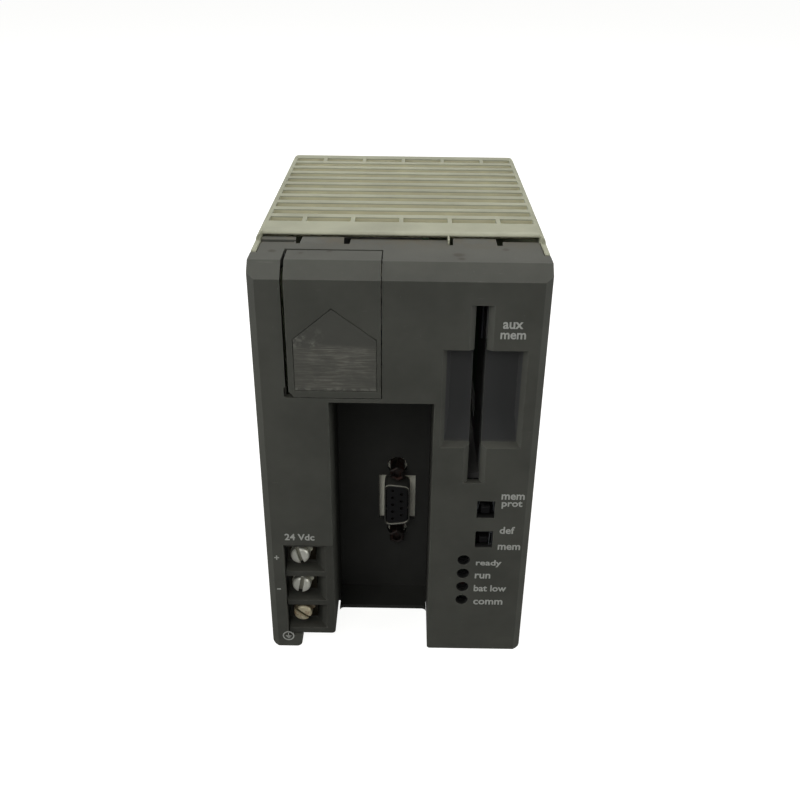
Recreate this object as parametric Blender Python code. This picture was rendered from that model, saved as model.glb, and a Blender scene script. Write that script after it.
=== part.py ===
"""Two-slot compact controller module: a louvred rear case behind a dark front bezel.

Lengths are in millimetres and places are (x, d, z): x to the right, d back from the bezel's
front face and z up from its feet. placed() turns a place into Blender's metres, with the
origin in the middle of the footprint, +Z up and the front facing -Y.
"""

import math

import bmesh
import bpy
from mathutils import Vector

# Driving dimensions of the whole module
HALF_WIDTH = 40.0
DEPTH = 111.4
CASE_TOP = 132.4
LEDGE_TOP = 130.3
TOP_CHAMFER = 4.0
FACE_TOP = LEDGE_TOP - TOP_CHAMFER
BEVEL_WIDTH = 2.0
BEVEL_DEPTH = 1.4
GAP = 0.3

# Front bezel
BEZEL_WALL = 2.2
BEZEL_DEPTH = 22.0
SHOULDER = 9.7
SKIRT_HALF = 38.3

# Rear case
CASE_WALL = 1.3
CASE_ROOF = 1.8
CASE_FRONT = 22.2
CASE_LIP_BOTTOM = 131.3
CHEEK_FRONT = 19.0
CASE_CORNER = 1.6
VENT_ROWS = 11
VENT_COLUMNS = 6
VENT_FIRST = 33.3
VENT_ROW_PITCH = 7.17
VENT_SLOT = 4.3
VENT_COLUMN_PITCH = 13.95
VENT_RIB = 1.2
VENT_HALF = 38.0
VENT_RIB_DROP = 1.4
VENT_GRID_FOOT = 128.4

# Port channel down the middle of the front
CHANNEL_LEFT = -19.5
CHANNEL_RIGHT = 10.0
CHANNEL_TOP = 90.3
CHANNEL_WALL = 1.7
WELL_BACK = 29.5
WELL_SILL = 18.7
WELL_FLOOR = 1.3
SILL_CLEARANCE = 0.08
PORT_X = -0.3
PORT_Z = 38.55
PORT_SCREW_OFFSET = 12.5
PORT_FLANGE_DEPTH = WELL_BACK + 2.3
PORT_SHELL_REACH = 7.1

# Battery door and what is behind it
DOOR_LEFT = -31.25
DOOR_SEAM = 0.9
DOOR_RIGHT = -4.6
DOOR_BOTTOM = 91.6
DOOR_REAR = 12.9
DOOR_PROUD = 0.2
DOOR_THICK = 2.0
HINGE_D = 11.0
HINGE_Z = 128.9
KNUCKLE_RADIUS = 1.6
PIN_RADIUS = 0.6
PIN_BORE = 0.85
CELL_RADIUS = 7.25
CELL_LENGTH = 25.2
HOLDER_X = (-29.6, -6.0)
HOLDER_D = (3.6, 21.5)
HOLDER_Z = (93.2, 125.2)

# Terminal block
BLOCK_LEFT = -34.7
BLOCK_RIGHT = CHANNEL_LEFT
BLOCK_TOP = 40.7
BLOCK_BOTTOM = 4.5
BLOCK_FACE = 1.0
CELL_FLOOR = 6.2
CELL_HEIGHT = 9.6
TERMINAL_X = -30.05
TERMINAL_TOP_Z = 34.65
TERMINAL_PITCH = 11.5
TERMINALS = 3
SCREW_HEAD = 3.0
SCREW_TURNS = (15.0, -10.0, 50.0)
FOOT_RIGHT = -30.3

# Card slot and finger recess
SLOT_X = 22.05
SLOT_WIDTH = 3.4
SLOT_LEAD_IN = 1.45
SLOT_BOTTOM = 64.2
SLOT_TOP = 119.8
RECESS_DEPTH = 3.9

# Switches and indicators
SWITCH_X = 26.25
SWITCH_WINDOW = (5.3, 6.2)
SWITCH_ROWS = {"protect_switch": 54.85, "start_switch": 43.95}
SWITCH_TRAVEL = 2.4
LED_X = 20.5
LED_TOP_Z = 36.0
LED_PITCH = 5.2
LED_HOLE = 1.95
LED_NAMES = ("led_ready", "led_run", "led_battery_low", "led_comm")
PANEL_BOARD_D = 12.0

# Circuit boards inside the case
BOARD_THICK = 1.6
MAIN_BOARD_X = 6.5
POWER_BOARD_X = -24.0
MEMORY_BOARD_X = 26.5
BOARD_Z = (6.0, 126.0)
BOARD_D = (44.0, 104.0)

MIDDLE_DEPTH = (DEPTH - DOOR_PROUD) / 2


def placed(point):
    """A place (x, d, z) in millimetres as a point in metres."""
    x, d, z = point
    return Vector((x, d - MIDDLE_DEPTH, z)) / 1000


def at(axis, u, v, w):
    """The place at w along an axis, with u and v across it in x, d, z order."""
    if axis == "x":
        return (w, u, v)
    if axis == "d":
        return (u, w, v)
    return (u, v, w)


def loft(rings):
    """A skin over rings with equal numbers of places, with a flat cap at each end."""

    def add(mesh, origin):
        loops = [[mesh.verts.new(placed(place) - origin) for place in ring] for ring in rings]
        for near, far in zip(loops, loops[1:]):
            for i in range(len(near)):
                j = (i + 1) % len(near)
                mesh.faces.new((near[i], near[j], far[j], far[i]))
        mesh.faces.new(loops[0])
        mesh.faces.new(loops[-1])

    return add


def prism(axis, outline, start, end):
    """An outline carried straight from start to end."""
    return loft([[at(axis, u, v, w) for u, v in outline] for w in (start, end)])


def block(low, high):
    """A box between two corners."""
    (x0, d0, z0), (x1, d1, z1) = low, high
    return prism("z", [(x0, d0), (x1, d0), (x1, d1), (x0, d1)], z0, z1)


def circle(centre, radius, sides, turn=0.0):
    """Points round a centre, the first at the angle turn."""
    angles = [turn + 2 * math.pi * i / sides for i in range(sides)]
    return [(centre[0] + radius * math.cos(a), centre[1] + radius * math.sin(a)) for a in angles]


def cylinder(axis, centre, radius, start, end, sides=24):
    return prism(axis, circle(centre, radius, sides), start, end)


def turned(axis, centre, stations, sides=24):
    """A round body whose radius is given at places along its axis: (place, radius)."""
    rings = []
    for w, radius in stations:
        rings.append([at(axis, u, v, w) for u, v in circle(centre, radius, sides)])
    return loft(rings)


def rectangle(low, high):
    return [(low[0], low[1]), (high[0], low[1]), (high[0], high[1]), (low[0], high[1])]


def bar(centre, half_length, half_width, turn):
    """A straight bar's outline, upright and then turned anticlockwise by some degrees."""
    a = math.radians(turn)
    points = []
    for u, v in rectangle((-half_width, -half_length), (half_width, half_length)):
        points.append(
            (centre[0] + u * math.cos(a) - v * math.sin(a), centre[1] + u * math.sin(a) + v * math.cos(a))
        )
    return points


def rounded(low, high, radius, steps=3):
    """A rectangle with quarter-circle corners."""
    corners = ((high[0], high[1], 0), (low[0], high[1], 1), (low[0], low[1], 2), (high[0], low[1], 3))
    points = []
    for u, v, quarter in corners:
        centre = (
            u - radius if u == high[0] else u + radius,
            v - radius if v == high[1] else v + radius,
        )
        for i in range(steps + 1):
            a = math.pi / 2 * (quarter + i / steps)
            points.append((centre[0] + radius * math.cos(a), centre[1] + radius * math.sin(a)))
    return points


def material(name, colour, roughness, metallic=0.0):
    made = bpy.data.materials.new(name)
    made.use_nodes = True
    shader = made.node_tree.nodes["Principled BSDF"]
    shader.inputs["Base Color"].default_value = (*colour, 1.0)
    shader.inputs["Roughness"].default_value = roughness
    shader.inputs["Metallic"].default_value = metallic
    made.diffuse_color = (*colour, 1.0)
    return made


def mesh_object(name, shapes, origin):
    """One object whose mesh holds every shape, with its origin at a place."""
    start = placed(origin)
    made = bmesh.new()
    for add in shapes:
        add(made, start)
    bmesh.ops.recalc_face_normals(made, faces=made.faces)
    mesh = bpy.data.meshes.new(name)
    made.to_mesh(mesh)
    made.free()
    obj = bpy.data.objects.new(name, mesh)
    obj.location = start
    bpy.context.scene.collection.objects.link(obj)
    return obj


def make(name, finish, base, steps=(), origin=(0.0, 0.0, 0.0), smooth=False, parent=None):
    """A piece that starts as one shape, then has groups of shapes joined to it or cut from it."""
    obj = mesh_object(name, [base], origin)
    for number, (operation, shapes) in enumerate(steps):
        helper = mesh_object(f"{name}_{operation.lower()}_{number}", shapes, origin)
        helper.hide_render = True
        helper.display_type = "WIRE"
        modifier = obj.modifiers.new(helper.name, "BOOLEAN")
        modifier.operation = operation
        modifier.solver = "EXACT"
        modifier.use_self = len(shapes) > 1
        modifier.object = helper
    if smooth:
        obj.data.shade_smooth()
        obj.data.set_sharp_from_angle(angle=math.radians(35))
    obj.data.materials.append(finish)
    if parent is not None:
        obj.parent = parent
        obj.location -= parent.location
    return obj


def finishes():
    """Every material by its name."""
    return {
        "case": material("case_beige", (0.42, 0.42, 0.31), 0.55),
        "bezel": material("bezel_grey", (0.045, 0.045, 0.041), 0.5),
        "label": material("door_label_film", (0.16, 0.15, 0.13), 0.45),
        "black": material("black_moulding", (0.012, 0.012, 0.013), 0.45),
        "plated": material("plated_steel", (0.62, 0.60, 0.52), 0.35, 1.0),
        "brass": material("brass", (0.55, 0.42, 0.2), 0.35, 1.0),
        "board": material("circuit_board", (0.03, 0.12, 0.05), 0.5),
        "aluminium": material("aluminium", (0.6, 0.6, 0.6), 0.4, 1.0),
        "lens_green": material("lens_green", (0.02, 0.05, 0.02), 0.2),
        "lens_red": material("lens_red", (0.09, 0.02, 0.015), 0.2),
        "sleeve": material("cell_sleeve", (0.06, 0.09, 0.2), 0.35),
    }


def vent_slots(low_z, high_z):
    """Cutters for the louvre: rows of slots, each split into columns by thin ribs."""
    slots = []
    for row in range(VENT_ROWS):
        d = VENT_FIRST + row * VENT_ROW_PITCH
        for column in range(VENT_COLUMNS):
            left = (column - VENT_COLUMNS / 2) * VENT_COLUMN_PITCH + VENT_RIB / 2
            right = left + VENT_COLUMN_PITCH - VENT_RIB
            left = max(left, -VENT_HALF)
            right = min(right, VENT_HALF)
            low = (left, d - VENT_SLOT / 2, low_z)
            high = (right, d + VENT_SLOT / 2, high_z)
            slots.append(block(low, high))
    return slots


def vent_grid():
    """The deep part of the roof, which the louvre's slots turn into slats and ribs."""
    return block((-VENT_HALF - 0.3, 29.6, VENT_GRID_FOOT), (VENT_HALF + 0.3, DEPTH - 2.9, CASE_TOP - 0.9))


def rib_recesses():
    """Cutters that sink the ribs below the slats in every row but the first and the last."""
    cuts = []
    for row in range(1, VENT_ROWS - 1):
        d = VENT_FIRST + row * VENT_ROW_PITCH
        low = (-VENT_HALF, d - VENT_SLOT / 2, CASE_TOP - VENT_RIB_DROP)
        high = (VENT_HALF, d + VENT_SLOT / 2, CASE_TOP + 1.0)
        cuts.append(block(low, high))
    return cuts


def build_case(finish):
    """The louvred shell, open at the front, with a window for the bus connector."""
    half = HALF_WIDTH - 0.1
    inner = half - CASE_WALL
    shell = prism("d", rounded((-half, 0.0), (half, CASE_TOP), CASE_CORNER), SHOULDER + GAP, DEPTH)
    hollow = block(
        (-inner, -1.0, CASE_ROOF), (inner, DEPTH - 2.0, CASE_TOP - CASE_ROOF)
    )
    roof_front = block((-50.0, -1.0, LEDGE_TOP + 0.3), (50.0, CHEEK_FRONT, 140.0))
    lip_front = block((-inner - 0.15, -2.0, LEDGE_TOP + 0.1), (inner + 0.15, CASE_FRONT, 141.0))
    lip_under = block((-inner + 0.1, -3.0, CASE_TOP - 3 * CASE_ROOF), (inner - 0.1, 24.6, CASE_LIP_BOTTOM))
    lip_nose = [
        (CASE_FRONT, CASE_LIP_BOTTOM + 0.3),
        (CASE_FRONT + 0.35, CASE_LIP_BOTTOM + 0.7),
        (CASE_FRONT + 0.95, CASE_TOP - 0.13),
        (CASE_FRONT + 1.9, CASE_TOP),
        (CASE_FRONT + 1.9, CASE_TOP + 1.0),
        (CASE_FRONT - 1.0, CASE_TOP + 1.0),
        (CASE_FRONT - 1.0, CASE_LIP_BOTTOM + 0.3),
    ]
    floor_front = block((-50.0, -1.0, -1.0), (50.0, BEZEL_DEPTH + GAP, 2 * CASE_ROOF))
    well_room = block(
        (CHANNEL_LEFT - CHANNEL_WALL - GAP, 0.0, -1.0),
        (CHANNEL_RIGHT + CHANNEL_WALL + GAP, WELL_BACK + 2.0 + GAP, 2 * CASE_ROOF),
    )
    window = block((-5.6, DEPTH - 5.0, 33.4), (6.8, DEPTH + 5.0, 90.6))
    return make(
        "rear_case",
        finish["case"],
        shell,
        [
            ("DIFFERENCE", [hollow]),
            ("DIFFERENCE", [roof_front, floor_front]),
            ("DIFFERENCE", [lip_front]),
            ("DIFFERENCE", [lip_under]),
            ("DIFFERENCE", [prism("x", lip_nose, -inner - 0.15, inner + 0.15)]),
            ("DIFFERENCE", [well_room]),
            ("DIFFERENCE", [window]),
            ("UNION", [vent_grid()]),
            ("DIFFERENCE", rib_recesses()),
            ("DIFFERENCE", vent_slots(CASE_TOP - 3 * CASE_ROOF, CASE_TOP + 1.0)),
            ("DIFFERENCE", vent_slots(-1.0, 2 * CASE_ROOF)),
        ],
    )


def finger_recess():
    """Cutter for the recess that bares the card's edge: steep sides and a sloping sill."""
    stations = (
        (-1.0, (11.4, 75.6), (35.4, 107.0)),
        (0.0, (11.9, 76.1), (34.9, 106.8)),
        (2.2, (13.1, 77.2), (33.8, 106.3)),
        (RECESS_DEPTH, (14.2, 86.5), (32.9, 105.9)),
    )
    rings = []
    for d, low, high in stations:
        rings.append([at("d", u, v, d) for u, v in rectangle(low, high)])
    return loft(rings)


def slot_lead_in():
    """Cutter for the shallow groove whose sloping sides lead a card into its slot."""
    half = SLOT_WIDTH / 2
    slope = 1.5 / SLOT_LEAD_IN
    outline = [
        (SLOT_X - half - slope * (SLOT_LEAD_IN + 1.0), -1.0),
        (SLOT_X + half + slope * (SLOT_LEAD_IN + 1.0), -1.0),
        (SLOT_X + half, SLOT_LEAD_IN),
        (SLOT_X - half, SLOT_LEAD_IN),
    ]
    return prism("z", outline, SLOT_BOTTOM, SLOT_TOP)


def outer_corner(x, z, out, up, radius, steps=5):
    """Cutter that rounds one corner of the front outline; out and up point away from the part."""
    outline = [(x + 0.8 * out, z + 0.8 * up), (x + 0.8 * out, z - radius * up)]
    for i in range(steps + 1):
        a = math.pi / 2 * i / steps
        outline.append((x - (1 - math.cos(a)) * radius * out, z - (1 - math.sin(a)) * radius * up))
    outline.append((x - radius * out, z + 0.8 * up))
    return prism("d", outline, -1.5, BEZEL_DEPTH + 2.0)


def build_bezel(finish):
    """The front cap: chamfered top, bevelled sides, an open channel, and windows for the controls."""
    side = [(0.0, 0.0), (0.0, FACE_TOP), (TOP_CHAMFER, LEDGE_TOP), (BEZEL_DEPTH, LEDGE_TOP), (BEZEL_DEPTH, 0.0)]
    front_plan = [
        (-HALF_WIDTH + BEVEL_WIDTH, 0.0),
        (HALF_WIDTH - BEVEL_WIDTH, 0.0),
        (HALF_WIDTH, BEVEL_DEPTH),
        (HALF_WIDTH, SHOULDER),
        (SKIRT_HALF, SHOULDER),
        (SKIRT_HALF, BEZEL_DEPTH + 5.0),
        (-SKIRT_HALF, BEZEL_DEPTH + 5.0),
        (-SKIRT_HALF, SHOULDER),
        (-HALF_WIDTH, SHOULDER),
        (-HALF_WIDTH, BEVEL_DEPTH),
    ]
    inner_half = SKIRT_HALF - 1.6
    roof = LEDGE_TOP - BEZEL_WALL
    hollow_side = [
        (BEZEL_WALL, BEZEL_WALL),
        (BEZEL_WALL, roof - TOP_CHAMFER + 1.3),
        (BEZEL_WALL + TOP_CHAMFER - 1.3, roof),
        (BEZEL_DEPTH + 1.0, roof),
        (BEZEL_DEPTH + 1.0, BEZEL_WALL),
    ]
    channel_lining = block(
        (CHANNEL_LEFT - CHANNEL_WALL, 0.6, 0.6),
        (CHANNEL_RIGHT + CHANNEL_WALL, BEZEL_DEPTH, CHANNEL_TOP + 1.0),
    )
    recess_lining = block((10.6, 1.0, 74.4), (36.0, RECESS_DEPTH + 1.6, 108.0))
    hinge_cheeks = []
    for edge, out in ((DOOR_LEFT, -1), (DOOR_RIGHT, 1)):
        low_x, high_x = sorted((edge - 0.4 * out, edge + 2.5 * out))
        hinge_cheeks.append(
            block((low_x, HINGE_D - 2.4, HINGE_Z - 2.5), (high_x, HINGE_D + 2.6, LEDGE_TOP - 0.5))
        )
    channel = block((CHANNEL_LEFT, -1.0, -1.0), (CHANNEL_RIGHT, BEZEL_DEPTH + 1.0, CHANNEL_TOP))
    door_opening = block((DOOR_LEFT, -1.0, DOOR_BOTTOM), (DOOR_RIGHT, DOOR_REAR, CASE_TOP))
    thumb_notch = block((DOOR_LEFT - 0.5, -1.0, DOOR_BOTTOM + 0.2), (DOOR_LEFT + 1.0, 1.5, DOOR_BOTTOM + 3.2))
    terminal_bay = block((BLOCK_LEFT, -1.0, BLOCK_BOTTOM), (CHANNEL_LEFT + 1.0, BEZEL_DEPTH + 1.0, BLOCK_TOP))
    beside_foot = block((FOOT_RIGHT, -1.0, -1.0), (CHANNEL_LEFT + 1.0, BEZEL_DEPTH + 1.0, BLOCK_BOTTOM + 1.0))
    half_slot = SLOT_WIDTH / 2
    card_slot = block((SLOT_X - half_slot, -1.0, SLOT_BOTTOM), (SLOT_X + half_slot, 9.0, SLOT_TOP))
    windows = []
    for z in SWITCH_ROWS.values():
        half_w, half_h = SWITCH_WINDOW[0] / 2, SWITCH_WINDOW[1] / 2
        windows.append(block((SWITCH_X - half_w, -1.0, z - half_h), (SWITCH_X + half_w, 4.0, z + half_h)))
    for row in range(len(LED_NAMES)):
        centre = (LED_X, LED_TOP_Z - row * LED_PITCH)
        windows.append(cylinder("d", centre, LED_HOLE, -1.0, 4.0, 20))
    notches = []
    for x, width, front_width in ((-28.2, 2.2, 1.0), (-14.8, 2.0, 1.6), (13.7, 1.6, 1.4), (27.3, 2.0, 1.6)):
        outline = [
            (x - front_width / 2, 17.5),
            (x + front_width / 2, 17.5),
            (x + width / 2, BEZEL_DEPTH + 1.0),
            (x - width / 2, BEZEL_DEPTH + 1.0),
        ]
        notches.append(prism("z", outline, roof - 1.0, LEDGE_TOP + 2.0))
    raised = [block((-SKIRT_HALF, 19.3, LEDGE_TOP - 1.0), (-28.6, BEZEL_DEPTH, LEDGE_TOP + 0.4))]
    for left, right in ((-27.6, -15.4), (14.2, 26.7)):
        ramp = [(17.6, LEDGE_TOP), (17.6, LEDGE_TOP - 1.0), (BEZEL_DEPTH, LEDGE_TOP - 1.0), (BEZEL_DEPTH, LEDGE_TOP + 0.5)]
        raised.append(prism("x", ramp, left, right))
    ledge_cuts = [
        block((-45.0, 18.4, LEDGE_TOP - 0.5), (-29.3, 19.3, LEDGE_TOP + 1.0)),
        block((28.1, 20.9, LEDGE_TOP - 0.9), (45.0, BEZEL_DEPTH + 2.0, LEDGE_TOP + 1.0)),
    ]
    pin_bore = cylinder("x", (HINGE_D, HINGE_Z), PIN_BORE, DOOR_LEFT - 5.0, DOOR_RIGHT + 5.0, 12)
    corners = [
        outer_corner(FOOT_RIGHT, 0.0, 1, -1, 1.9),
        outer_corner(-HALF_WIDTH, 0.0, -1, -1, 1.5),
        outer_corner(CHANNEL_RIGHT, 0.0, -1, -1, 1.0),
        outer_corner(HALF_WIDTH, 0.0, 1, -1, 1.2),
    ]
    return make(
        "front_bezel",
        finish["bezel"],
        prism("x", side, -HALF_WIDTH, HALF_WIDTH),
        [
            ("INTERSECT", [prism("z", front_plan, -1.0, LEDGE_TOP + 1.0)]),
            ("DIFFERENCE", [prism("x", hollow_side, -inner_half, inner_half)]),
            ("UNION", [channel_lining]),
            ("UNION", [recess_lining]),
            ("UNION", hinge_cheeks),
            ("UNION", raised),
            ("DIFFERENCE", ledge_cuts),
            ("DIFFERENCE", [channel]),
            ("DIFFERENCE", [door_opening]),
            ("DIFFERENCE", [thumb_notch]),
            ("DIFFERENCE", [terminal_bay, beside_foot]),
            ("DIFFERENCE", [finger_recess()]),
            ("DIFFERENCE", [card_slot]),
            ("DIFFERENCE", [slot_lead_in()]),
            ("DIFFERENCE", windows),
            ("DIFFERENCE", notches),
            ("DIFFERENCE", [pin_bore]),
            ("DIFFERENCE", corners),
        ],
    )


def build_door(finish):
    """The flip-up battery door, hinged on the pin behind its top lip, and its sunk label."""
    pivot = ((DOOR_LEFT + DOOR_RIGHT) / 2, HINGE_D, HINGE_Z)
    left, right = DOOR_LEFT + DOOR_SEAM, DOOR_RIGHT - GAP
    bottom = DOOR_BOTTOM + GAP
    chamfer_in = DOOR_THICK * math.tan(math.radians(22.5))
    top = LEDGE_TOP + DOOR_PROUD
    side = [
        (-DOOR_PROUD, bottom),
        (-DOOR_PROUD, FACE_TOP + 0.1),
        (TOP_CHAMFER - 0.1, top),
        (HINGE_D, top),
        (HINGE_D, top - DOOR_THICK),
        (TOP_CHAMFER - 0.1 + chamfer_in, top - DOOR_THICK),
        (DOOR_THICK - DOOR_PROUD, FACE_TOP + 0.1 - chamfer_in),
        (DOOR_THICK - DOOR_PROUD, bottom),
    ]
    knuckle = cylinder("x", (HINGE_D, HINGE_Z), KNUCKLE_RADIUS, left, right, 20)
    bore = cylinder("x", (HINGE_D, HINGE_Z), PIN_BORE, left - 1.0, right + 1.0, 12)
    label_outline = [(-28.7, 93.9), (-5.9, 93.9), (-5.9, 109.5), (-18.0, 118.6), (-28.7, 109.5)]
    label_pocket = prism("d", label_outline, -1.0, 0.4 - DOOR_PROUD)
    worn_corner = prism(
        "d",
        [(left - 1.0, bottom - 1.0), (left + 1.5, bottom - 1.0), (left + 1.5, bottom), (left, bottom + 1.7), (left - 1.0, bottom + 1.7)],
        -1.0,
        DOOR_THICK + 1.0,
    )
    door = make(
        "battery_door",
        finish["bezel"],
        prism("x", side, left, right),
        [("UNION", [knuckle]), ("DIFFERENCE", [bore]), ("DIFFERENCE", [label_pocket]), ("DIFFERENCE", [worn_corner])],
        origin=pivot,
    )
    label_inset = [(-28.4, 94.2), (-6.2, 94.2), (-6.2, 109.35), (-18.0, 118.2), (-28.4, 109.35)]
    make(
        "door_label",
        finish["label"],
        prism("d", label_inset, 0.05 - DOOR_PROUD, 0.25 - DOOR_PROUD),
        origin=pivot,
        parent=door,
    )
    make(
        "door_hinge_pin",
        finish["plated"],
        cylinder("x", (HINGE_D, HINGE_Z), PIN_RADIUS, DOOR_LEFT - 2.2, DOOR_RIGHT + 2.2, 12),
        smooth=True,
    )


def spring_points(centre, start, end, turns, radius):
    """Places along a helix, in metres."""
    count = int(turns * 10)
    points = []
    for i in range(count + 1):
        a = 2 * math.pi * turns * i / count
        z = start + (end - start) * i / count
        points.append(placed((centre[0] + radius * math.cos(a), centre[1] + radius * math.sin(a), z)))
    return points


def build_battery(finish):
    """The cell, its open-fronted holder, the top contact and the coil spring under the cell."""
    centre = (sum(HOLDER_X) / 2, 12.2)
    wall = 1.2
    low = (HOLDER_X[0], HOLDER_D[0], HOLDER_Z[0])
    high = (HOLDER_X[1], HOLDER_D[1], HOLDER_Z[1])
    room_low = (HOLDER_X[0] + wall, HOLDER_D[0] - 1.0, HOLDER_Z[0] + wall)
    room_high = (HOLDER_X[1] - wall, HOLDER_D[1] - wall, HOLDER_Z[1] - wall)
    make("battery_holder", finish["black"], block(low, high), [("DIFFERENCE", [block(room_low, room_high)])])
    cell_bottom = HOLDER_Z[0] + wall + 2.6
    cell_top = cell_bottom + CELL_LENGTH
    stations = (
        (cell_bottom, CELL_RADIUS - 0.6),
        (cell_bottom + 0.6, CELL_RADIUS),
        (cell_top - 1.4, CELL_RADIUS),
        (cell_top - 0.9, CELL_RADIUS - 0.6),
        (cell_top - 0.85, 2.6),
        (cell_top, 2.6),
    )
    make("battery_cell", finish["sleeve"], turned("z", centre, stations, 28), smooth=True)
    contact_z = HOLDER_Z[1] - wall - 0.3
    make(
        "battery_contact",
        finish["plated"],
        block((centre[0] - 5.0, 6.0, contact_z - 0.4), (centre[0] + 5.0, 18.4, contact_z)),
    )
    curve = bpy.data.curves.new("battery_spring", "CURVE")
    curve.dimensions = "3D"
    curve.bevel_depth = 0.00035
    curve.bevel_resolution = 1
    curve.use_fill_caps = True
    points = spring_points(centre, HOLDER_Z[0] + wall + 0.75, cell_bottom - 0.75, 2.0, 4.0)
    spline = curve.splines.new("POLY")
    spline.points.add(len(points) - 1)
    for slot, point in zip(spline.points, points):
        slot.co = (*point, 1.0)
    spring = bpy.data.objects.new("battery_spring", curve)
    spring.data.materials.append(finish["plated"])
    bpy.context.scene.collection.objects.link(spring)


def terminal_heights():
    return [TERMINAL_TOP_Z - TERMINAL_PITCH * i for i in range(TERMINALS)]


def build_terminals(finish):
    """The supply terminals: a moulded block with ramped cells, clamp plates and slotted screws."""
    left, right = BLOCK_LEFT + GAP, BLOCK_RIGHT
    top, bottom = BLOCK_TOP - GAP, BLOCK_BOTTOM + GAP
    cells = []
    bores = []
    for z in terminal_heights():
        ramp = [
            (left - 1.0, CELL_FLOOR),
            (-25.4, CELL_FLOOR),
            (-21.6, BLOCK_FACE - 0.5),
            (-21.6, -1.0),
            (left - 1.0, -1.0),
        ]
        cells.append(prism("z", ramp, z - CELL_HEIGHT / 2, z + CELL_HEIGHT / 2))
        bores.append(cylinder("d", (TERMINAL_X, z), 2.1, CELL_FLOOR - 1.0, 16.0, 16))
        bores.append(block((-26.6, CELL_FLOOR - 1.0, z - 2.2), (-25.2, 30.0, z + 2.2)))
    make(
        "terminal_block",
        finish["bezel"],
        block((left, BLOCK_FACE, bottom), (right, BEZEL_DEPTH - 0.5, top)),
        [("DIFFERENCE", cells), ("DIFFERENCE", bores), ("DIFFERENCE", [outer_corner(right, bottom, 1, -1, 1.2)])],
    )
    strip_d = CELL_FLOOR + GAP
    for number, z in enumerate(terminal_heights(), 1):
        hole = cylinder("d", (TERMINAL_X, z), 2.0, -5.0, 30.0, 16)
        make(
            f"terminal_strip_{number}",
            finish["brass"],
            block((-33.6, CELL_FLOOR - 0.6, z - 3.6), (-25.5, CELL_FLOOR - 0.1, z + 3.6)),
            [
                ("UNION", [block((-26.3, CELL_FLOOR - 0.4, z - 1.9), (-25.5, 26.0, z + 1.9))]),
                ("DIFFERENCE", [hole]),
            ],
        )
        clamp_d = strip_d - 1.2
        clamp = make(
            f"terminal_clamp_{number}",
            finish["plated"],
            block((-33.8, clamp_d - 0.9, z - 3.9), (-26.0, clamp_d, z + 3.9)),
            [("DIFFERENCE", [cylinder("d", (TERMINAL_X, z), 2.0, -5.0, 30.0, 16)])],
            origin=(TERMINAL_X, clamp_d, z),
        )
        head_back = clamp_d - 0.9 - GAP
        stations = (
            (head_back - 2.1, SCREW_HEAD - 1.0),
            (head_back - 1.7, SCREW_HEAD - 0.35),
            (head_back - 1.1, SCREW_HEAD),
            (head_back, SCREW_HEAD),
            (head_back + 0.05, 1.7),
            (14.0, 1.7),
            (14.8, 1.0),
        )
        slot = prism("d", bar((TERMINAL_X, z), 5.0, 0.5, SCREW_TURNS[number - 1]), -5.0, head_back - 1.0)
        make(
            f"terminal_screw_{number}",
            finish["plated"],
            turned("d", (TERMINAL_X, z), stations),
            [("DIFFERENCE", [slot])],
            origin=(TERMINAL_X, head_back, z),
            smooth=True,
            parent=clamp,
        )


def d_outline(centre, height, width, slant, radius, steps=4):
    """The D shape of a connector standing on end: the longer side on the left, its corners curved."""
    x, z = centre
    half_w, half_h = width / 2, height / 2
    corners = [
        Vector((x - half_w, z - half_h)),
        Vector((x - half_w, z + half_h)),
        Vector((x + half_w, z + half_h - slant)),
        Vector((x + half_w, z - half_h + slant)),
    ]
    outline = []
    for i, corner in enumerate(corners):
        start = corner + (corners[i - 1] - corner).normalized() * radius
        end = corner + (corners[(i + 1) % 4] - corner).normalized() * radius
        for k in range(steps + 1):
            t = k / steps
            outline.append(tuple((1 - t) ** 2 * start + 2 * t * (1 - t) * corner + t**2 * end))
    return outline


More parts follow.
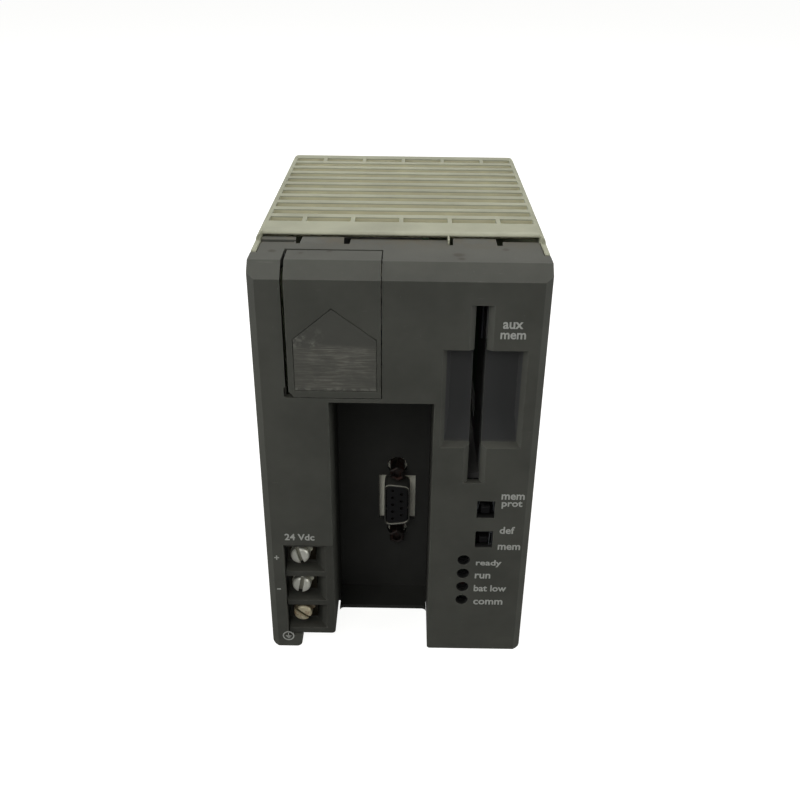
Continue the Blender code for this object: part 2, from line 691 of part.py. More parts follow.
def build_port(finish):
    """The dark well behind the channel, and the nine-way socket with its two jackscrews."""
    outer_left, outer_right = CHANNEL_LEFT - CHANNEL_WALL, CHANNEL_RIGHT + CHANNEL_WALL
    outer = block(
        (outer_left, BEZEL_DEPTH + GAP, 0.0), (outer_right, WELL_BACK + 2.0, CHANNEL_TOP + CHANNEL_WALL)
    )
    sill = block(
        (CHANNEL_LEFT + SILL_CLEARANCE, WELL_SILL, 0.0),
        (CHANNEL_RIGHT - SILL_CLEARANCE, BEZEL_DEPTH + 2.0, WELL_FLOOR),
    )
    room = block((CHANNEL_LEFT, BEZEL_DEPTH - 5.0, WELL_FLOOR), (CHANNEL_RIGHT, WELL_BACK, CHANNEL_TOP))
    fillets = []
    for x, inward in ((CHANNEL_LEFT + SILL_CLEARANCE, 1), (CHANNEL_RIGHT - SILL_CLEARANCE, -1)):
        plan = [(x, WELL_SILL + 1.0), (x, WELL_SILL - 1.4)]
        for i in range(1, 5):
            a = math.pi / 2 * i / 4
            plan.append((x + 1.4 * (1 - math.cos(a)) * inward, WELL_SILL - 1.4 * (1 - math.sin(a))))
        plan.append((x + 1.4 * inward, WELL_SILL + 1.0))
        fillets.append(prism("z", plan, 0.0, WELL_FLOOR))
    cutout = block((PORT_X - 6.0, WELL_BACK - 1.0, PORT_Z - 8.9), (PORT_X + 6.0, WELL_BACK + 4.0, PORT_Z + 8.9))
    holes = [cutout]
    screw_heights = {"upper": PORT_Z + PORT_SCREW_OFFSET, "lower": PORT_Z - PORT_SCREW_OFFSET}
    for z in screw_heights.values():
        holes.append(cylinder("d", (PORT_X, z), 3.3, WELL_BACK - 1.0, WELL_BACK + 4.0, 20))
    make(
        "port_well",
        finish["bezel"],
        outer,
        [("UNION", [sill]), ("UNION", fillets), ("DIFFERENCE", [room]), ("DIFFERENCE", holes)],
    )
    flange = block(
        (PORT_X - 6.25, PORT_FLANGE_DEPTH, PORT_Z - 15.4), (PORT_X + 6.25, PORT_FLANGE_DEPTH + 0.8, PORT_Z + 15.4)
    )
    face = PORT_FLANGE_DEPTH - PORT_SHELL_REACH
    shell = prism("d", d_outline((PORT_X, PORT_Z), 16.3, 8.4, 0.9, 2.2), face, PORT_FLANGE_DEPTH + 0.5)
    mouth = prism("d", d_outline((PORT_X, PORT_Z), 15.3, 7.4, 0.9, 1.9), face - 1.0, PORT_FLANGE_DEPTH + 5.0)
    screw_holes = [
        cylinder("d", (PORT_X, z), 1.7, PORT_FLANGE_DEPTH - 2.0, PORT_FLANGE_DEPTH + 5.0, 16)
        for z in screw_heights.values()
    ]
    make(
        "port_shell",
        finish["plated"],
        flange,
        [("UNION", [shell]), ("DIFFERENCE", [mouth]), ("DIFFERENCE", screw_holes)],
    )
    pin_holes = []
    for count, x in ((5, PORT_X - 1.42), (4, PORT_X + 1.42)):
        for i in range(count):
            z = PORT_Z + (i - (count - 1) / 2) * 2.77
            pin_holes.append(cylinder("d", (x, z), 0.6, face - 1.0, face + 4.5, 8))
    body = block(
        (PORT_X - 3.9, PORT_FLANGE_DEPTH + 1.1, PORT_Z - 9.4), (MAIN_BOARD_X - GAP, 42.0, PORT_Z + 9.4)
    )
    make(
        "port_insulator",
        finish["black"],
        prism("d", d_outline((PORT_X, PORT_Z), 14.7, 6.8, 0.9, 1.7), face + 0.4, PORT_FLANGE_DEPTH + 3.0),
        [("UNION", [body]), ("DIFFERENCE", pin_holes)],
    )
    for place, z in screw_heights.items():
        hexagon = prism("d", circle((PORT_X, z), 2.7, 6, math.pi / 6), PORT_FLANGE_DEPTH - 7.6, PORT_FLANGE_DEPTH - GAP)
        shank = cylinder("d", (PORT_X, z), 1.4, PORT_FLANGE_DEPTH - 1.0, PORT_FLANGE_DEPTH + 5.0, 16)
        bore = cylinder("d", (PORT_X, z), 1.3, PORT_FLANGE_DEPTH - 9.0, PORT_FLANGE_DEPTH - 2.6, 16)
        make(f"port_jackscrew_{place}", finish["plated"], hexagon, [("UNION", [shank]), ("DIFFERENCE", [bore])])


def build_card_reader(finish):
    """The guide that a memory card slides in, the connector at its end and their board."""
    half = SLOT_WIDTH / 2
    front = RECESS_DEPTH + 1.9
    end = 84.0
    body = block((SLOT_X - 3.0, front, SLOT_BOTTOM - 2.0), (SLOT_X + 3.0, end, SLOT_TOP + 2.0))
    slot = block((SLOT_X - half, front - 1.0, SLOT_BOTTOM), (SLOT_X + half, end + 1.0, SLOT_TOP))
    window = block((SLOT_X - 6.0, 30.0, SLOT_BOTTOM + 5.0), (SLOT_X + 6.0, 78.0, SLOT_TOP - 5.0))
    make("card_guide", finish["black"], body, [("DIFFERENCE", [slot]), ("DIFFERENCE", [window])])
    socket = block((SLOT_X - 3.2, end + GAP, SLOT_BOTTOM - 1.0), (MEMORY_BOARD_X - GAP, 95.0, SLOT_TOP + 1.0))
    mouth = block((SLOT_X - 1.7, end - 1.0, SLOT_BOTTOM + 1.5), (SLOT_X + 1.7, 92.0, SLOT_TOP - 1.5))
    make("card_connector", finish["black"], socket, [("DIFFERENCE", [mouth])])
    make(
        "memory_board",
        finish["board"],
        block((MEMORY_BOARD_X, 40.0, 58.0), (MEMORY_BOARD_X + BOARD_THICK, BOARD_D[1], BOARD_Z[1])),
    )


def build_switches(finish):
    """Two small slide switches, each a body with a T-shaped track and a slider in it."""
    for name, z in SWITCH_ROWS.items():
        body = block((SWITCH_X - 3.4, 5.5, z - 4.6), (SWITCH_X + 3.4, PANEL_BOARD_D - GAP, z + 4.6))
        mouth = block((SWITCH_X - 2.1, 4.0, z - 3.3), (SWITCH_X + 2.1, 7.5, z + 3.3))
        track = block((SWITCH_X - 2.7, 6.4, z - 3.6), (SWITCH_X + 2.7, 8.3, z + 3.6))
        make(f"{name}_body", finish["black"], body, [("DIFFERENCE", [mouth, track])])
        low = z - SWITCH_TRAVEL / 2
        foot = block((SWITCH_X - 2.4, 6.7, low - 2.0), (SWITCH_X + 2.4, 8.0, low + 2.0))
        knob_rings = []
        for d, half_w, half_h in ((7.2, 1.8, 1.6), (4.2, 1.8, 1.6), (1.4, 1.3, 1.1)):
            outline = rectangle((SWITCH_X - half_w, low - half_h), (SWITCH_X + half_w, low + half_h))
            knob_rings.append([at("d", u, v, d) for u, v in outline])
        make(
            f"{name}_slider",
            finish["black"],
            foot,
            [("UNION", [loft(knob_rings)])],
            origin=(SWITCH_X, 6.0, low),
        )


def build_indicators(finish):
    """Four round lamps in one holder, on the board behind the control windows."""
    heights = [LED_TOP_Z - row * LED_PITCH for row in range(len(LED_NAMES))]
    low, high = heights[-1] - 3.0, heights[0] + 3.0
    bores = []
    for z in heights:
        bores.append(cylinder("d", (LED_X, z), 1.8, 0.0, 30.0, 20))
    make(
        "led_holder",
        finish["black"],
        block((LED_X - 3.0, 4.0, low), (LED_X + 3.0, PANEL_BOARD_D - GAP, high)),
        [("DIFFERENCE", bores)],
    )
    for name, z in zip(LED_NAMES, heights):
        lens = finish["lens_red"] if name == "led_battery_low" else finish["lens_green"]
        stations = (
            (2.2, 0.35),
            (2.4, 0.85),
            (2.8, 1.25),
            (3.5, 1.5),
            (PANEL_BOARD_D - GAP, 1.5),
        )
        make(name, lens, turned("d", (LED_X, z), stations, 16), smooth=True)
    make(
        "indicator_board",
        finish["board"],
        block((14.0, PANEL_BOARD_D, 14.0), (33.0, PANEL_BOARD_D + BOARD_THICK, 62.0)),
    )


def build_boards(finish):
    """The main and supply boards, what they carry and the bus connector at the rear."""
    for name, x in (("main_board", MAIN_BOARD_X), ("power_board", POWER_BOARD_X)):
        front = 33.4 if name == "power_board" else 36.0
        make(
            name,
            finish["board"],
            block((x, front, BOARD_Z[0]), (x + BOARD_THICK, BOARD_D[1], BOARD_Z[1])),
        )
    chip_x = MAIN_BOARD_X + BOARD_THICK + GAP
    chips = {
        "cpu_chip": ((62.0, 26.0), (86.0, 50.0)),
        "rom_chip": ((44.0, 66.0), (59.0, 102.0)),
        "ram_chip": ((66.0, 66.0), (81.0, 102.0)),
    }
    for name, ((d0, z0), (d1, z1)) in chips.items():
        make(name, finish["black"], block((chip_x, d0, z0), (chip_x + 3.8, d1, z1)))
    face = POWER_BOARD_X + BOARD_THICK + GAP
    for number, z in enumerate((56.0, 78.0), 1):
        stations = ((face, 7.6), (face + 0.6, 8.0), (face + 24.4, 8.0), (face + 25.0, 7.4))
        make(
            f"capacitor_{number}",
            finish["sleeve"],
            turned("x", (84.0, z), stations, 20),
            smooth=True,
        )
    core = block((face, 66.0, 14.0), (face + 18.0, 88.0, 44.0))
    window_low, window_high = (face + 3.5, 65.0, 19.0), (face + 14.5, 89.0, 39.0)
    coil = block((face + 1.5, 69.0, 17.0), (face + 16.5, 85.0, 41.0))
    make(
        "supply_transformer",
        finish["plated"],
        core,
        [("DIFFERENCE", [block(window_low, window_high)]), ("UNION", [coil])],
    )
    fins = []
    for i in range(5):
        z = 92.0 + i * 5.0
        fins.append(block((face + 1.0, 46.0, z), (face + 16.0, 70.0, z + 1.4)))
    make("heat_sink", finish["aluminium"], block((face, 46.0, 90.0), (face + 2.2, 70.0, 115.4)), [("UNION", fins)])
    corners = ((48.0, 12.0), (100.0, 12.0), (48.0, 120.0), (100.0, 120.0))
    for number, centre in enumerate(corners, 1):
        hexagon = circle(centre, 2.8, 6)
        make(f"board_spacer_{number}", finish["black"], prism("x", hexagon, face, MAIN_BOARD_X - GAP))
    bus = block((-5.0, 97.0, 34.0), (MAIN_BOARD_X - GAP, DEPTH - 0.4, 90.0))
    rows = [block((x - 0.9, DEPTH - 6.0, 37.0), (x + 0.9, DEPTH + 1.0, 87.0)) for x in (-2.4, 3.0)]
    make("bus_connector", finish["black"], bus, [("DIFFERENCE", rows)])


def main():
    for obj in list(bpy.data.objects):
        bpy.data.objects.remove(obj, do_unlink=True)
    finish = finishes()
    build_case(finish)
    build_bezel(finish)
    build_door(finish)
    build_battery(finish)
    build_terminals(finish)
    build_port(finish)
    build_card_reader(finish)
    build_switches(finish)
    build_indicators(finish)
    build_boards(finish)


main()
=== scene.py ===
"""Visual layer of the two-slot controller module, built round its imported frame.

Each sub-assembly is a class that builds its own pieces and dresses them, and each finish is a
frozen dataclass that draws one procedural material. Lengths in the classes are millimetres in
the module's own places (x to the right, d back from the bezel's front face, z up from the feet),
and placed() turns them into the frame's metres.
"""

import logging  # noqa: E402
import math  # noqa: E402
from collections.abc import Callable, Iterable, Sequence  # noqa: E402
from dataclasses import dataclass, field  # noqa: E402
from enum import Enum  # noqa: E402
from functools import cached_property  # noqa: E402
from typing import Any, Optional, Union  # noqa: E402

import bmesh  # noqa: E402
import bpy  # noqa: E402
import numpy as np  # noqa: E402
from mathutils import Matrix, Vector  # noqa: E402


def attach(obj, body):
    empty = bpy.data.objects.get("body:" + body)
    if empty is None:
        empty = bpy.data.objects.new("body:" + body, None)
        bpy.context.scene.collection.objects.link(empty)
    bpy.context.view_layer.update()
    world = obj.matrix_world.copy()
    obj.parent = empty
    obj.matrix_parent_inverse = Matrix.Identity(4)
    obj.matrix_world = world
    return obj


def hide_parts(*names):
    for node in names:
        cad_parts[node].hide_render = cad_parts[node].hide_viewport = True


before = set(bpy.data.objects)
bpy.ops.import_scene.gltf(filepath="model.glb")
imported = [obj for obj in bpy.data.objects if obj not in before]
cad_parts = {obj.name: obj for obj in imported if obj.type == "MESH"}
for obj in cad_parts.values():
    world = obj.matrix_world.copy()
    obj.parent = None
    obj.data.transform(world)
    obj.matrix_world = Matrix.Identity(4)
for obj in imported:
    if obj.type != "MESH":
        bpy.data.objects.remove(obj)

LOG = logging.getLogger("module")
MM = 0.001
MIDDLE_DEPTH = 55.6
WELD_DISTANCE = 2e-6
SLIVER_LENGTH = 1e-6
CRISP_ANGLE = 35.0
MOULDED_ANGLE = 32.0
HOUSING = "housing"
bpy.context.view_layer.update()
Colour = Place = tuple[float, float, float]
Material, Object, Socket = bpy.types.Material, bpy.types.Object, bpy.types.NodeSocket


class Slot(Enum):
    """The record's material slots, by name."""

    CASE = "case"
    BEZEL = "bezel"
    LABEL = "label"
    BLACK = "black"
    PLATED = "plated"
    LENS_GREEN = "lens_green"
    LENS_RED = "lens_red"


class Axis(Enum):
    """The way a pattern runs, as the scale of its coordinates along x, y and z."""

    EVEN = (1.0, 1.0, 1.0)
    ALONG_X = (0.06, 1.0, 1.0)
    ALONG_Z = (1.0, 1.0, 0.06)


def placed(places: np.ndarray) -> np.ndarray:
    """Turns places (x, d, z) in millimetres into the frame's metres.

    Args:
        places: An array whose last axis holds x, d and z.

    Returns:
        The same array in metres, with depth counted from the module's middle.
    """
    return (np.asarray(places, float) - (0.0, MIDDLE_DEPTH, 0.0)) * MM


# ---------------------------------------------------------------- shader maths


def operator(operation: str, reflected: bool = False) -> Callable[["Value", "Number"], "Value"]:
    """A method of Value that adds one Math node, with its terms swapped where it is reflected."""

    def method(self: "Value", other: "Number") -> "Value":
        return self.graph.maths(operation, *((other, self) if reflected else (self, other)))

    return method


class Value:
    """A number socket that takes part in Python arithmetic."""

    __add__, __radd__ = operator("ADD"), operator("ADD", reflected=True)
    __sub__, __rsub__ = operator("SUBTRACT"), operator("SUBTRACT", reflected=True)
    __mul__, __rmul__ = operator("MULTIPLY"), operator("MULTIPLY", reflected=True)
    __truediv__ = operator("DIVIDE")

    def __init__(self, graph: "Graph", socket: Socket) -> None:
        """Keeps the graph that new nodes go in and the socket itself."""
        self.graph = graph
        self.socket = socket

    def above(self, low: float, high: float) -> "Value":
        """0 below low, 1 above high, and smooth between them."""
        settings = {"interpolation_type": "SMOOTHSTEP"}
        made = self.graph.node("MapRange", settings, {"Value": self, "From Min": low, "From Max": high})
        return Value(self.graph, made.outputs["Result"])

    def below(self, low: float, high: float) -> "Value":
        """1 below low, 0 above high, and smooth between them."""
        return 1.0 - self.above(low, high)

    def between(self, low: float, high: float, fade: float) -> "Value":
        """1 between low and high, going to 0 over a fade just inside each of them."""
        return self.above(low, low + fade) * self.below(high - fade, high)


Number = Union[Value, float]
Link = Union[Value, Socket, float, tuple]


class Graph:
    """One material's node tree, written from Python."""

    def __init__(self, name: str) -> None:
        """Makes an empty material with an output and a Principled shader."""
        self.material = bpy.data.materials.new(name)
        self.material.use_nodes = True
        self.tree = self.material.node_tree
        self.shader = self.tree.nodes["Principled BSDF"]

    def node(self, kind: str, settings: dict[str, Any], values: dict[Any, Link]) -> bpy.types.Node:
        """Adds one node.

        Args:
            kind: The node's type, without its ShaderNode prefix.
            settings: Properties that are set first, such as operation or blend_type.
            values: What each input socket, by name or number, holds or is linked to.

        Returns:
            The new node.
        """
        made = self.tree.nodes.new("ShaderNode" + kind)
        for key, value in settings.items():
            setattr(made, key, value)
        for key, value in values.items():
            self.feed(made.inputs[key], value)
        return made

    def feed(self, socket: Socket, value: Link) -> None:
        """Links a socket to a value, or sets it where the value is a constant."""
        if isinstance(value, Value):
            value = value.socket
        if isinstance(value, Socket):
            self.tree.links.new(value, socket)
        elif isinstance(value, tuple) and len(value) == 3 and len(socket.default_value) == 4:
            socket.default_value = (*value, 1.0)
        else:
            socket.default_value = value

    def maths(self, operation: str, *terms: Number) -> Value:
        """One Math node on numbers or values."""
        made = self.node("Math", {"operation": operation}, dict(enumerate(terms)))
        return Value(self, made.outputs[0])

    @cached_property
    def place(self) -> Socket:
        """The point being shaded, in the frame's metres."""
        return self.node("TexCoord", {}, {}).outputs["Object"]

    @cached_property
    def own_place(self) -> Socket:
        """The same point as (x, d, z) in the module's own millimetres."""
        terms = {0: self.place, 1: (1.0 / MM,) * 3, 2: (0.0, MIDDLE_DEPTH, 0.0)}
        return self.node("VectorMath", {"operation": "MULTIPLY_ADD"}, terms).outputs[0]

    def along(self, axis: str) -> Value:
        """One coordinate of that place, in millimetres; Y is the depth."""
        return Value(self, self.node("SeparateXYZ", {}, {0: self.own_place}).outputs[axis])

    @cached_property
    def normal(self) -> Socket:
        """The surface's own normal."""
        return self.node("NewGeometry", {}, {}).outputs["Normal"]

    def facing(self, axis: str) -> Value:
        """One part of that normal."""
        return Value(self, self.node("SeparateXYZ", {}, {0: self.normal}).outputs[axis])

    def noise(
        self, size: float, axis: Axis = Axis.EVEN, detail: float = 3.0, offset: float = 0.0
    ) -> Value:
        """Soft random values from 0 to 1.

        Args:
            size: How far apart the blotches are, in millimetres.
            axis: The way they are drawn out.
            detail: Octaves of finer noise.
            offset: Moves the pattern, so that two of the same size differ.

        Returns:
            The noise as a value.
        """
        settings = {"Location": (offset, offset, offset), "Scale": axis.value}
        moved = self.node("Mapping", {}, {0: self.place, **settings}).outputs[0]
        values = {"Vector": moved, "Scale": 1.0 / (size * MM), "Detail": detail, "Roughness": 0.6}
        return Value(self, self.node("TexNoise", {}, values).outputs["Fac"])

    def blend(self, mask: Number, base: Link, over: Link) -> Socket:
        """A colour that goes from base to over with a mask."""
        made = self.node("Mix", {"data_type": "RGBA"}, {0: mask, 6: base, 7: over})
        return made.outputs[2]

    def edges(self, radius: float) -> Value:
        """1 on an outer or inner edge and 0 on the flats: a rounded normal against the true one."""
        soft = self.node("Bevel", {"samples": 4}, {"Radius": radius * MM}).outputs[0]
        dot = self.node("VectorMath", {"operation": "DOT_PRODUCT"}, {0: soft, 1: self.normal})
        return (1.0 - Value(self, dot.outputs["Value"])).above(0.01, 0.22)

    def bump(self, height: Value, depth: float) -> Socket:
        """A bumped normal from a height of 0 to 1 that stands depth millimetres tall."""
        made = self.node("Bump", {}, {"Strength": 1.0, "Distance": depth * MM, "Height": height})
        return made.outputs[0]

    def finish(
        self, colour: Link, rough: Link, normal: Optional[Socket] = None, **constants: float
    ) -> Material:
        """Feeds the shader, whose constants are named in lower case, and returns the material."""
        self.feed(self.shader.inputs["Base Color"], colour)
        self.feed(self.shader.inputs["Roughness"], rough)
        if normal is not None:
            self.feed(self.shader.inputs["Normal"], normal)
        for name, value in constants.items():
            title = name.replace("_", " ").title().replace("Ior", "IOR")
            self.feed(self.shader.inputs[title], value)
        return self.material


# ---------------------------------------------------------------- finishes


def shaded(colour: Colour, factor: float) -> Colour:
    """A colour made darker or lighter, with no part above 1."""
    return tuple(min(1.0, c * factor) for c in colour)


@dataclass(frozen=True)
class MouldedPlastic:
    """A spark-textured moulding with mottling, specks, dust on top and rubbed edges."""

    name: str
    colour: Colour
    worn: Colour
    dust: Colour
    roughness: float = 0.5
    grain: float = 0.35
    grain_depth: float = 0.02
    wear: float = 0.35
    dusting: float = 0.25
    specular: float = 0.5

    def make(self) -> Material:
        """Draws the material."""
        g = Graph(self.name)
        mottle = g.noise(26.0, detail=4.0)
        cloud = g.noise(7.0, detail=5.0, offset=3.1)
        base = g.blend(mottle.above(0.3, 0.7), shaded(self.colour, 0.86), shaded(self.colour, 1.13))
        smudge = g.noise(11.0, Axis.ALONG_X, 4.0, 5.7).above(0.52, 0.75) * cloud.above(0.4, 0.7)
        base = g.blend(smudge * self.dusting, base, self.dust)
        upward = g.facing("Z").above(0.55, 0.95)
        settled = upward * (0.35 + 0.65 * g.noise(3.0, detail=6.0, offset=1.3)) * self.dusting
        base = g.blend(settled, base, self.dust)
        speck = g.noise(0.9, detail=2.0, offset=9.0).above(0.71, 0.78) * 0.35
        base = g.blend(speck, base, self.worn)
        base = self.marked(g, base)
        rubbed = g.edges(0.55) * g.noise(2.2, detail=5.0, offset=7.7).above(0.35, 0.65) * self.wear
        base = g.blend(rubbed, base, self.worn)
        grain = g.noise(self.grain, detail=2.0)
        rough = self.roughness + 0.16 * (cloud - 0.5) + 0.08 * (grain - 0.5) - 0.12 * rubbed
        normal = g.bump(grain + 0.6 * g.noise(1.3, detail=3.0, offset=2.2), self.grain_depth)
        return g.finish(base, rough, normal, specular_ior_level=self.specular)

    def marked(self, g: Graph, base: Socket) -> Socket:
        """Adds marks that only some mouldings have; a plain moulding has none."""
        return base


@dataclass(frozen=True)
class Stain:
    """A round dark stain at a place (x, d, z), in millimetres."""

    place: Place
    radius: float

    def mask(self, g: Graph, ragged: Value) -> Value:
        """1 inside the stain, with an edge that a ragged length moves in and out."""
        far = g.node("VectorMath", {"operation": "DISTANCE"}, {0: g.own_place, 1: self.place})
        return (Value(g, far.outputs["Value"]) + ragged).below(0.3 * self.radius, self.radius)


@dataclass(frozen=True)
class ShadePocket:
    """A recess with painted shade: its sides in x and z, the depth that it starts at and the lightness
    of its shade.
    """

    left: float
    right: float
    bottom: float
    top: float
    depth: float
    lightness: float
    fade: float = 0.4

    def mask(self, g: Graph) -> Value:
        """1 inside the recess."""
        across = g.along("X").between(self.left, self.right, self.fade)
        upright = g.along("Z").between(self.bottom, self.top, self.fade)
        return across * upright * g.along("Y").above(self.depth - self.fade, self.depth)


@dataclass(frozen=True)
class HandledMoulding(MouldedPlastic):
    """A moulding with painted shade in brown patches along the back of its ledge and in its recesses,
    some stains and fine scratches.
    """

    # The colour of the painted shade at the back of the ledge, and, darker, of the stains.
    soil_and_shade: Colour = (0.10, 0.085, 0.055)
    shaded_from: float = 12.0
    shaded_to: float = 22.0
    stains: tuple[Stain, ...] = ()
    shade_pockets: tuple[ShadePocket, ...] = ()
    # The colour of the painted shade in the recesses.
    pocket_shade: Colour = (0.040, 0.041, 0.042)

    def marked(self, g: Graph, base: Socket) -> Socket:
        """Adds the painted shade on the ledge's back, the stains, the painted shade in the recesses and
        the scratches.
        """
        # Painted shade: brown patches on the upward faces at the back of the ledge, as the shade under
        # the case's band.
        upward = g.facing("Z").above(0.6, 0.95)
        patches = g.noise(4.5, detail=5.0, offset=12.0).above(0.38, 0.68)
        rearward = g.along("Y").above(self.shaded_from, self.shaded_to)
        base = g.blend(upward * patches * rearward * 0.75, base, self.soil_and_shade)
        ragged = 1.2 * (g.noise(1.6, detail=4.0, offset=15.0) - 0.5)
        for stain in self.stains:
            base = g.blend(stain.mask(g, ragged) * 0.7, base, shaded(self.soil_and_shade, 0.45))
        # Painted shade: each recess box is darkened towards a dark grey, as the shade inside it.
        for shade_pocket in self.shade_pockets:
            base = g.blend(shade_pocket.mask(g) * 0.9, base, shaded(self.pocket_shade, shade_pocket.lightness))
        lines = g.noise(0.4, Axis.ALONG_X, 3.0, 21.0).above(0.66, 0.72)
        return g.blend(lines * g.noise(14.0, offset=4.4).above(0.5, 0.6) * 0.35, base, self.worn)


@dataclass(frozen=True)
class LouvredMoulding(MouldedPlastic):
    """A pale moulding whose louvres have painted light on the walls that face forward."""

    # The colour of the painted light on the louvres' forward walls.
    louvre_light: Colour = (0.72, 0.68, 0.46)
    louvre_top: float = 132.2
    louvre_foot: float = 124.0
    louvres_start: float = 26.0

    def marked(self, g: Graph, base: Socket) -> Socket:
        """Adds the painted light on the louvres' forward walls."""
        # Painted light: the forward-facing walls in the louvre band are lightened, as light falling on
        # them.
        forward = g.facing("Y").below(-0.9, -0.5)
        z = g.along("Z")
        band = z.above(self.louvre_foot, self.louvre_foot + 4.0)
        band = band * z.below(self.louvre_top - 0.3, self.louvre_top)
        behind = g.along("Y").above(self.louvres_start, self.louvres_start + 1.0)
        return g.blend(forward * band * behind * (0.75 + 0.25 * g.noise(2.0)), base, self.louvre_light)


@dataclass(frozen=True)
class PlatedMetal:
    """Plated steel or brass with fine drawn lines, tarnish in blotches and dirt in its corners."""

    name: str
    colour: Colour
    tarnish: Colour
    spread: float = 0.4
    roughness: float = 0.32
    metallic: float = 1.0
    drawn: Axis = Axis.ALONG_X
    # Painted shade: the depth in front of which the colour is darkened, and its colour.
    shaded_before: Optional[float] = None
    front_shade: Colour = (0.06, 0.06, 0.055)
    # Painted shade: the depth behind which the colour is darkened, and its colour.
    shaded_behind: Optional[float] = None
    soil_and_shade: Colour = (0.2, 0.2, 0.16)

    def make(self) -> Material:
        """Draws the material, with painted shade before one depth but for the top of its lip, and
        painted shade behind another.
        """
        g = Graph(self.name)
        blotch = g.noise(1.7, detail=5.0, offset=4.0)
        tarnished = blotch.above(0.62 - 0.3 * self.spread, 0.78 - 0.2 * self.spread)
        tarnished = tarnished * min(1.0, 0.4 + self.spread)
        corner = g.edges(0.35) * g.noise(0.8, offset=2.0).above(0.45, 0.7) * 0.5
        colour = g.blend(tarnished, self.colour, self.tarnish)
        colour = g.blend(corner, colour, shaded(self.tarnish, 0.5))
        d = g.along("Y")
        # Painted shade: in front of that depth the drawn shell is darkened to near black, all but the
        # upward faces of its lip.
        if self.shaded_before is not None:
            lip = d.below(self.shaded_before - 6.7, self.shaded_before - 6.4)
            spared = 1.0 - 0.7 * lip * g.facing("Z").above(0.1, 0.6)
            front_shaded = d.below(self.shaded_before - 0.5, self.shaded_before) * spared
            colour = g.blend(front_shaded * 0.95, colour, self.front_shade)
        # Painted shade: behind that depth, in the slot and behind the screw's face, the colour is
        # darkened.
        if self.shaded_behind is not None:
            back_shaded = d.above(self.shaded_behind, self.shaded_behind + 0.3)
            colour = g.blend(back_shaded * 0.8, colour, self.soil_and_shade)
        lines = g.noise(0.22, self.drawn, 2.0)
        rough = self.roughness + 0.3 * tarnished + 0.12 * (lines - 0.5)
        metal = self.metallic * (1.0 - 0.55 * tarnished)
        g.feed(g.shader.inputs["Metallic"], metal)
        return g.finish(colour, rough, g.bump(lines + blotch, 0.012))


@dataclass(frozen=True)
class WornFilm:
    """A printed film label whose lower half is scuffed to pale streaks by fingers."""

    name: str
    colour: Colour
    scuffed: Colour
    bare: Colour
    low: float
    high: float
    left: float
    right: float

    def make(self) -> Material:
        """Draws the streaks, thickest between low and high, and the wear at the flank and foot."""
        g = Graph(self.name)
        x, z = g.along("X"), g.along("Z")
        band = z.above(self.low, self.low + 1.5) * z.below(self.high - 1.2, self.high + 0.8)
        lift = x.above(self.left + 2.0, self.left + 5.5) * x.below(self.right - 4.0, self.right - 0.5)
        patch = g.noise(6.5, Axis.EVEN, 5.0, 2.9).above(0.36, 0.6)
        streak = g.noise(0.55, Axis.ALONG_X, 4.0, 1.0).above(0.38, 0.6)
        fine = g.noise(0.28, Axis.ALONG_X, 2.0, 6.0).above(0.42, 0.6)
        scuff = band * (0.45 + 0.55 * lift) * (0.35 + 0.65 * patch) * (0.45 + 0.55 * streak)
        flank = x.below(self.left + 3.0, self.left + 9.0) * z.above(self.high - 1.0, self.high + 0.5)
        flank = flank * z.below(self.high + 3.5, self.high + 6.0) * patch
        flank = flank * g.noise(1.4, detail=4.0, offset=8.0).above(0.42, 0.6)
        foot = z.below(self.low + 1.0, self.low + 1.5)
        foot = foot * g.noise(2.4, detail=3.0, offset=5.0).above(0.46, 0.56)
        rubbed = g.edges(0.3) * 0.6
        colour = g.blend(g.noise(9.0, detail=3.0), self.colour, shaded(self.colour, 1.3))
        colour = g.blend(scuff * 0.9, colour, self.scuffed)
        colour = g.blend(scuff * fine * 0.45, colour, self.bare)
        colour = g.blend(flank, colour, self.bare)
        colour = g.blend(foot * 0.35, colour, self.bare)
        colour = g.blend(rubbed, colour, self.scuffed)
        rough = 0.42 + 0.25 * scuff - 0.12 * fine
        return g.finish(colour, rough, g.bump(streak * scuff + 0.5 * fine, 0.02))


@dataclass(frozen=True)
class PrintedInk:
    """Pad-printed ink, thin in places and slightly yellowed."""

    name: str
    colour: Colour
    under: Colour

    def make(self) -> Material:
        """Draws the material."""
        g = Graph(self.name)
        thin = g.noise(0.35, detail=4.0).above(0.56, 0.72) * 0.45
        colour = g.blend(thin, self.colour, self.under)
        return g.finish(colour, 0.6 + 0.1 * thin, g.bump(g.noise(0.2), 0.006))


@dataclass(frozen=True)
class LampLens:
    """A tinted resin lens, glossy, with dust on it and a faint cloud inside."""

    name: str
    colour: Colour
    cloud: Colour

    def make(self) -> Material:
        """Draws the material."""
        g = Graph(self.name)
        haze = g.noise(0.9, detail=3.0).above(0.35, 0.75)
        dust = g.facing("Z").above(0.1, 0.9) * g.noise(0.3, detail=4.0, offset=5.0).above(0.35, 0.7)
        colour = g.blend(haze * 0.6, self.colour, self.cloud)
        colour = g.blend(dust * 0.35, colour, (0.3, 0.3, 0.26))
        return g.finish(colour, 0.12 + 0.4 * dust, g.bump(haze, 0.004), coat_weight=0.4)


